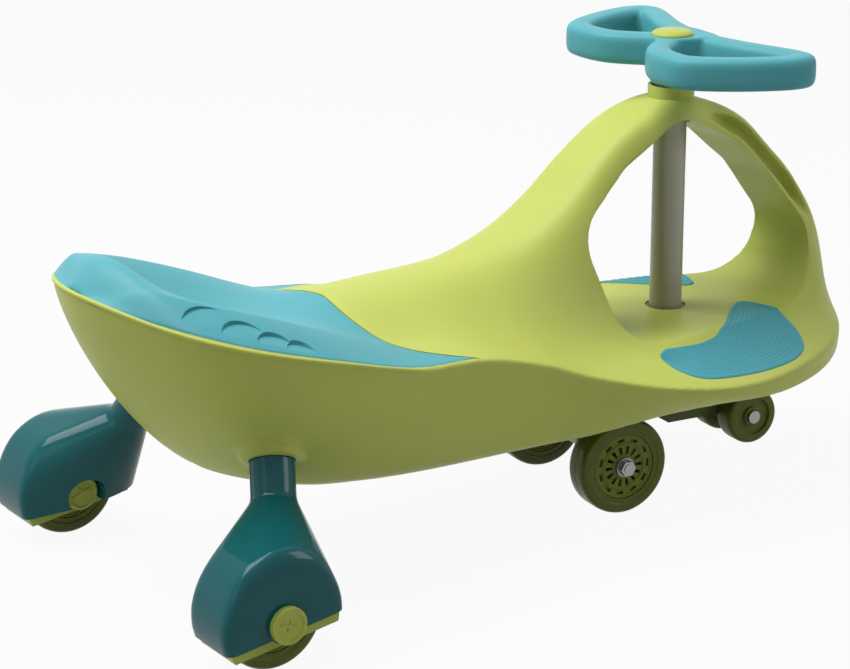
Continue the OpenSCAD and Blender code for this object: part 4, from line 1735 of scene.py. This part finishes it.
@dataclass
class Caps:
    """Round lime caps on the rear axles and on the steering wheel."""

    axle_r: float = 14.0
    steer_r: float = 17.0
    reach: float = 27.0

    def axle_cap(self) -> bpy.types.Object:
        """One axle cap, its face up along Z, with a rim and a raised cross.

        Returns:
            The new closed object.
        """
        r = self.axle_r
        profile = [
            (7, 0.1, 0.1), (r, 0.1, 0.2), (r, 5.4, 1.2), (11.4, 5.4, 0.6), (10.9, 4.4, 0.5), (0, 4.4, 0),
            (0, 3.6, 0), (7, 3.6, 0.1),
        ]
        cap = lathe("cap", profile, Matrix.Identity(4), 96)
        for turn, long in ((20, 7.6), (110, 4.6)):
            bar = block("bar", (-long, -1.1, 3.8), (long, 1.1, 5.2))
            apply(bar, "BEVEL", width=0.5 * MM, segments=2)
            carve(cap, place(bar, Matrix.Rotation(math.radians(turn), 4, "Z")), Cut.JOIN)
        return cap

    def build(self) -> None:
        """Models the caps, copies them to their places and dresses them."""
        cap = self.axle_cap()
        at = Matrix.Translation(REAR_AXLE)
        out = copy_to(cap, "axle_caps_left", at @ Matrix.Translation((0, self.reach, 0)) @ AXLE.inverted())
        inner = copy_to(cap, "inner cap", at @ Matrix.Translation((0, -self.reach, 0)) @ AXLE)
        bpy.data.objects.remove(cap)
        dress_pair(smooth(join([out, inner]), 35), "axle_caps", "lime_trim")
        r = self.steer_r
        profile = [
            (8, 371.2, 0.1), (r, 371.2, 0.3), (r, 375.4, 1.2), (14, 377.6, 4), (7, 378.3, 4), (0, 378.4, 0),
            (0, 375.4, 0), (8, 375.4, 0.1),
        ]
        top = smooth(lathe("steering_cap", profile, COLUMN, 96), 40)
        dress(top, Body.STEERING.value, "lime_trim", "steering_cap")


@dataclass
class Studio:
    """Pale floor, soft light and the camera at the photograph's angle."""

    eye: tuple[float, float, float] = (-1.1900, -1.6881, 0.8007)
    yaw: float = 34.0
    pitch: float = 17.426
    lens: float = 115.05
    sensor: float = 36.0
    white_share: float = 0.94
    sky_light: float = 0.1
    target: tuple[float, float, float] = (0, 0, 0.15)
    # Soft lamps: name, place, width and power
    lamps: Sequence[tuple[str, Sequence[float], float, float]] = (
        ("top softbox", (-0.8, 0.5, 2.3), 1.8, 76),
        ("tail softbox", (-2.2, -0.5, 1.2), 1.0, 3),
        ("nose softbox", (1.8, -1.6, 1.3), 1.0, 13),
    )

    def floor(self) -> None:
        """Lays the floor."""
        clear_selection()
        bpy.ops.mesh.primitive_plane_add(size=30, location=(0, 0, -0.0005))
        ground = bpy.context.object
        ground.name = "floor"
        recipe = Recipe("floor")
        grain = recipe.noise(3.0)
        colour = recipe.blend(grain, srgb(186, 186, 186), srgb(194, 194, 194))
        ground.data.materials.append(recipe.surface(Base_Color=colour, Roughness=0.9, Specular_IOR_Level=0.1))
        white = recipe.add("ShaderNodeEmission", None, {"Color": srgb(255, 255, 255), "Strength": 1.0})
        shaders = {0: recipe.seen() * self.white_share, 1: recipe.shader.outputs[0], 2: white.outputs[0]}
        mix = recipe.add("ShaderNodeMixShader", None, shaders)
        recipe.feed(recipe.output.inputs["Surface"], mix.outputs[0])

    def lamp(self, name: str, place_at: Sequence[float], size: float, power: float) -> None:
        """Hangs one soft lamp that looks at the car.

        Args:
            name: its name.
            place_at: its place, in metres.
            size: its width, in metres.
            power: its power, in watts.
        """
        light = bpy.data.lights.new(name, "AREA")
        light.size = size
        light.energy = power
        obj = bpy.data.objects.new(name, light)
        obj.location = place_at
        aim = Vector(self.target) - Vector(place_at)
        obj.rotation_euler = aim.to_track_quat("-Z", "Y").to_euler()
        bpy.context.scene.collection.objects.link(obj)

    def sky(self) -> None:
        """Sets an even sky: white where it is seen, dimmer as light."""
        world = bpy.data.worlds.new("sky")
        bpy.context.scene.world = world
        world.use_nodes = True
        nodes = Nodes(world.node_tree)
        soft, white = (
            nodes.add("ShaderNodeBackground", None, {"Color": (1, 1, 1, 1), "Strength": strength}).outputs[0]
            for strength in (self.sky_light, 1.0)
        )
        mix = nodes.add("ShaderNodeMixShader", None, {0: nodes.seen(), 1: soft, 2: white})
        nodes.add("ShaderNodeOutputWorld", None, {"Surface": mix.outputs[0]})

    def camera(self) -> None:
        """Sets the camera."""
        data = bpy.data.cameras.new("camera")
        data.lens = self.lens
        data.sensor_width = self.sensor
        obj = bpy.data.objects.new("camera", data)
        yaw, pitch = math.radians(self.yaw), math.radians(self.pitch)
        look = Vector((math.sin(yaw) * math.cos(pitch), math.cos(yaw) * math.cos(pitch), -math.sin(pitch)))
        obj.location = self.eye
        obj.rotation_euler = look.to_track_quat("-Z", "Y").to_euler()
        bpy.context.scene.collection.objects.link(obj)
        bpy.context.scene.camera = obj

    def build(self) -> None:
        """Builds the whole stage."""
        bpy.context.scene.view_settings.view_transform = "Standard"
        self.floor()
        self.sky()
        for lamp in self.lamps:
            self.lamp(*lamp)
        self.camera()


def paint_nodes() -> None:
    """Gives every CAD node the finish of its slot."""
    for part in frame["record"]["subparts"]:
        node = frame["nodes"][part["node"]]
        node.data.materials.clear()
        node.data.materials.append(PALETTE.get(part["material_slot"]))


def main() -> None:
    """Builds the car's pieces in order and the stage."""
    logging.basicConfig(level=logging.INFO, format="%(name)s: %(message)s")
    Shell().build()
    SeatCap().build()
    FootrestPads().build()
    RearLegs().build()
    SteeringWheel().build()
    RoadWheels().build()
    GuardWheels().build()
    Caps().build()
    paint_nodes()
    Studio().build()


if __name__ == "__main__":
    main()
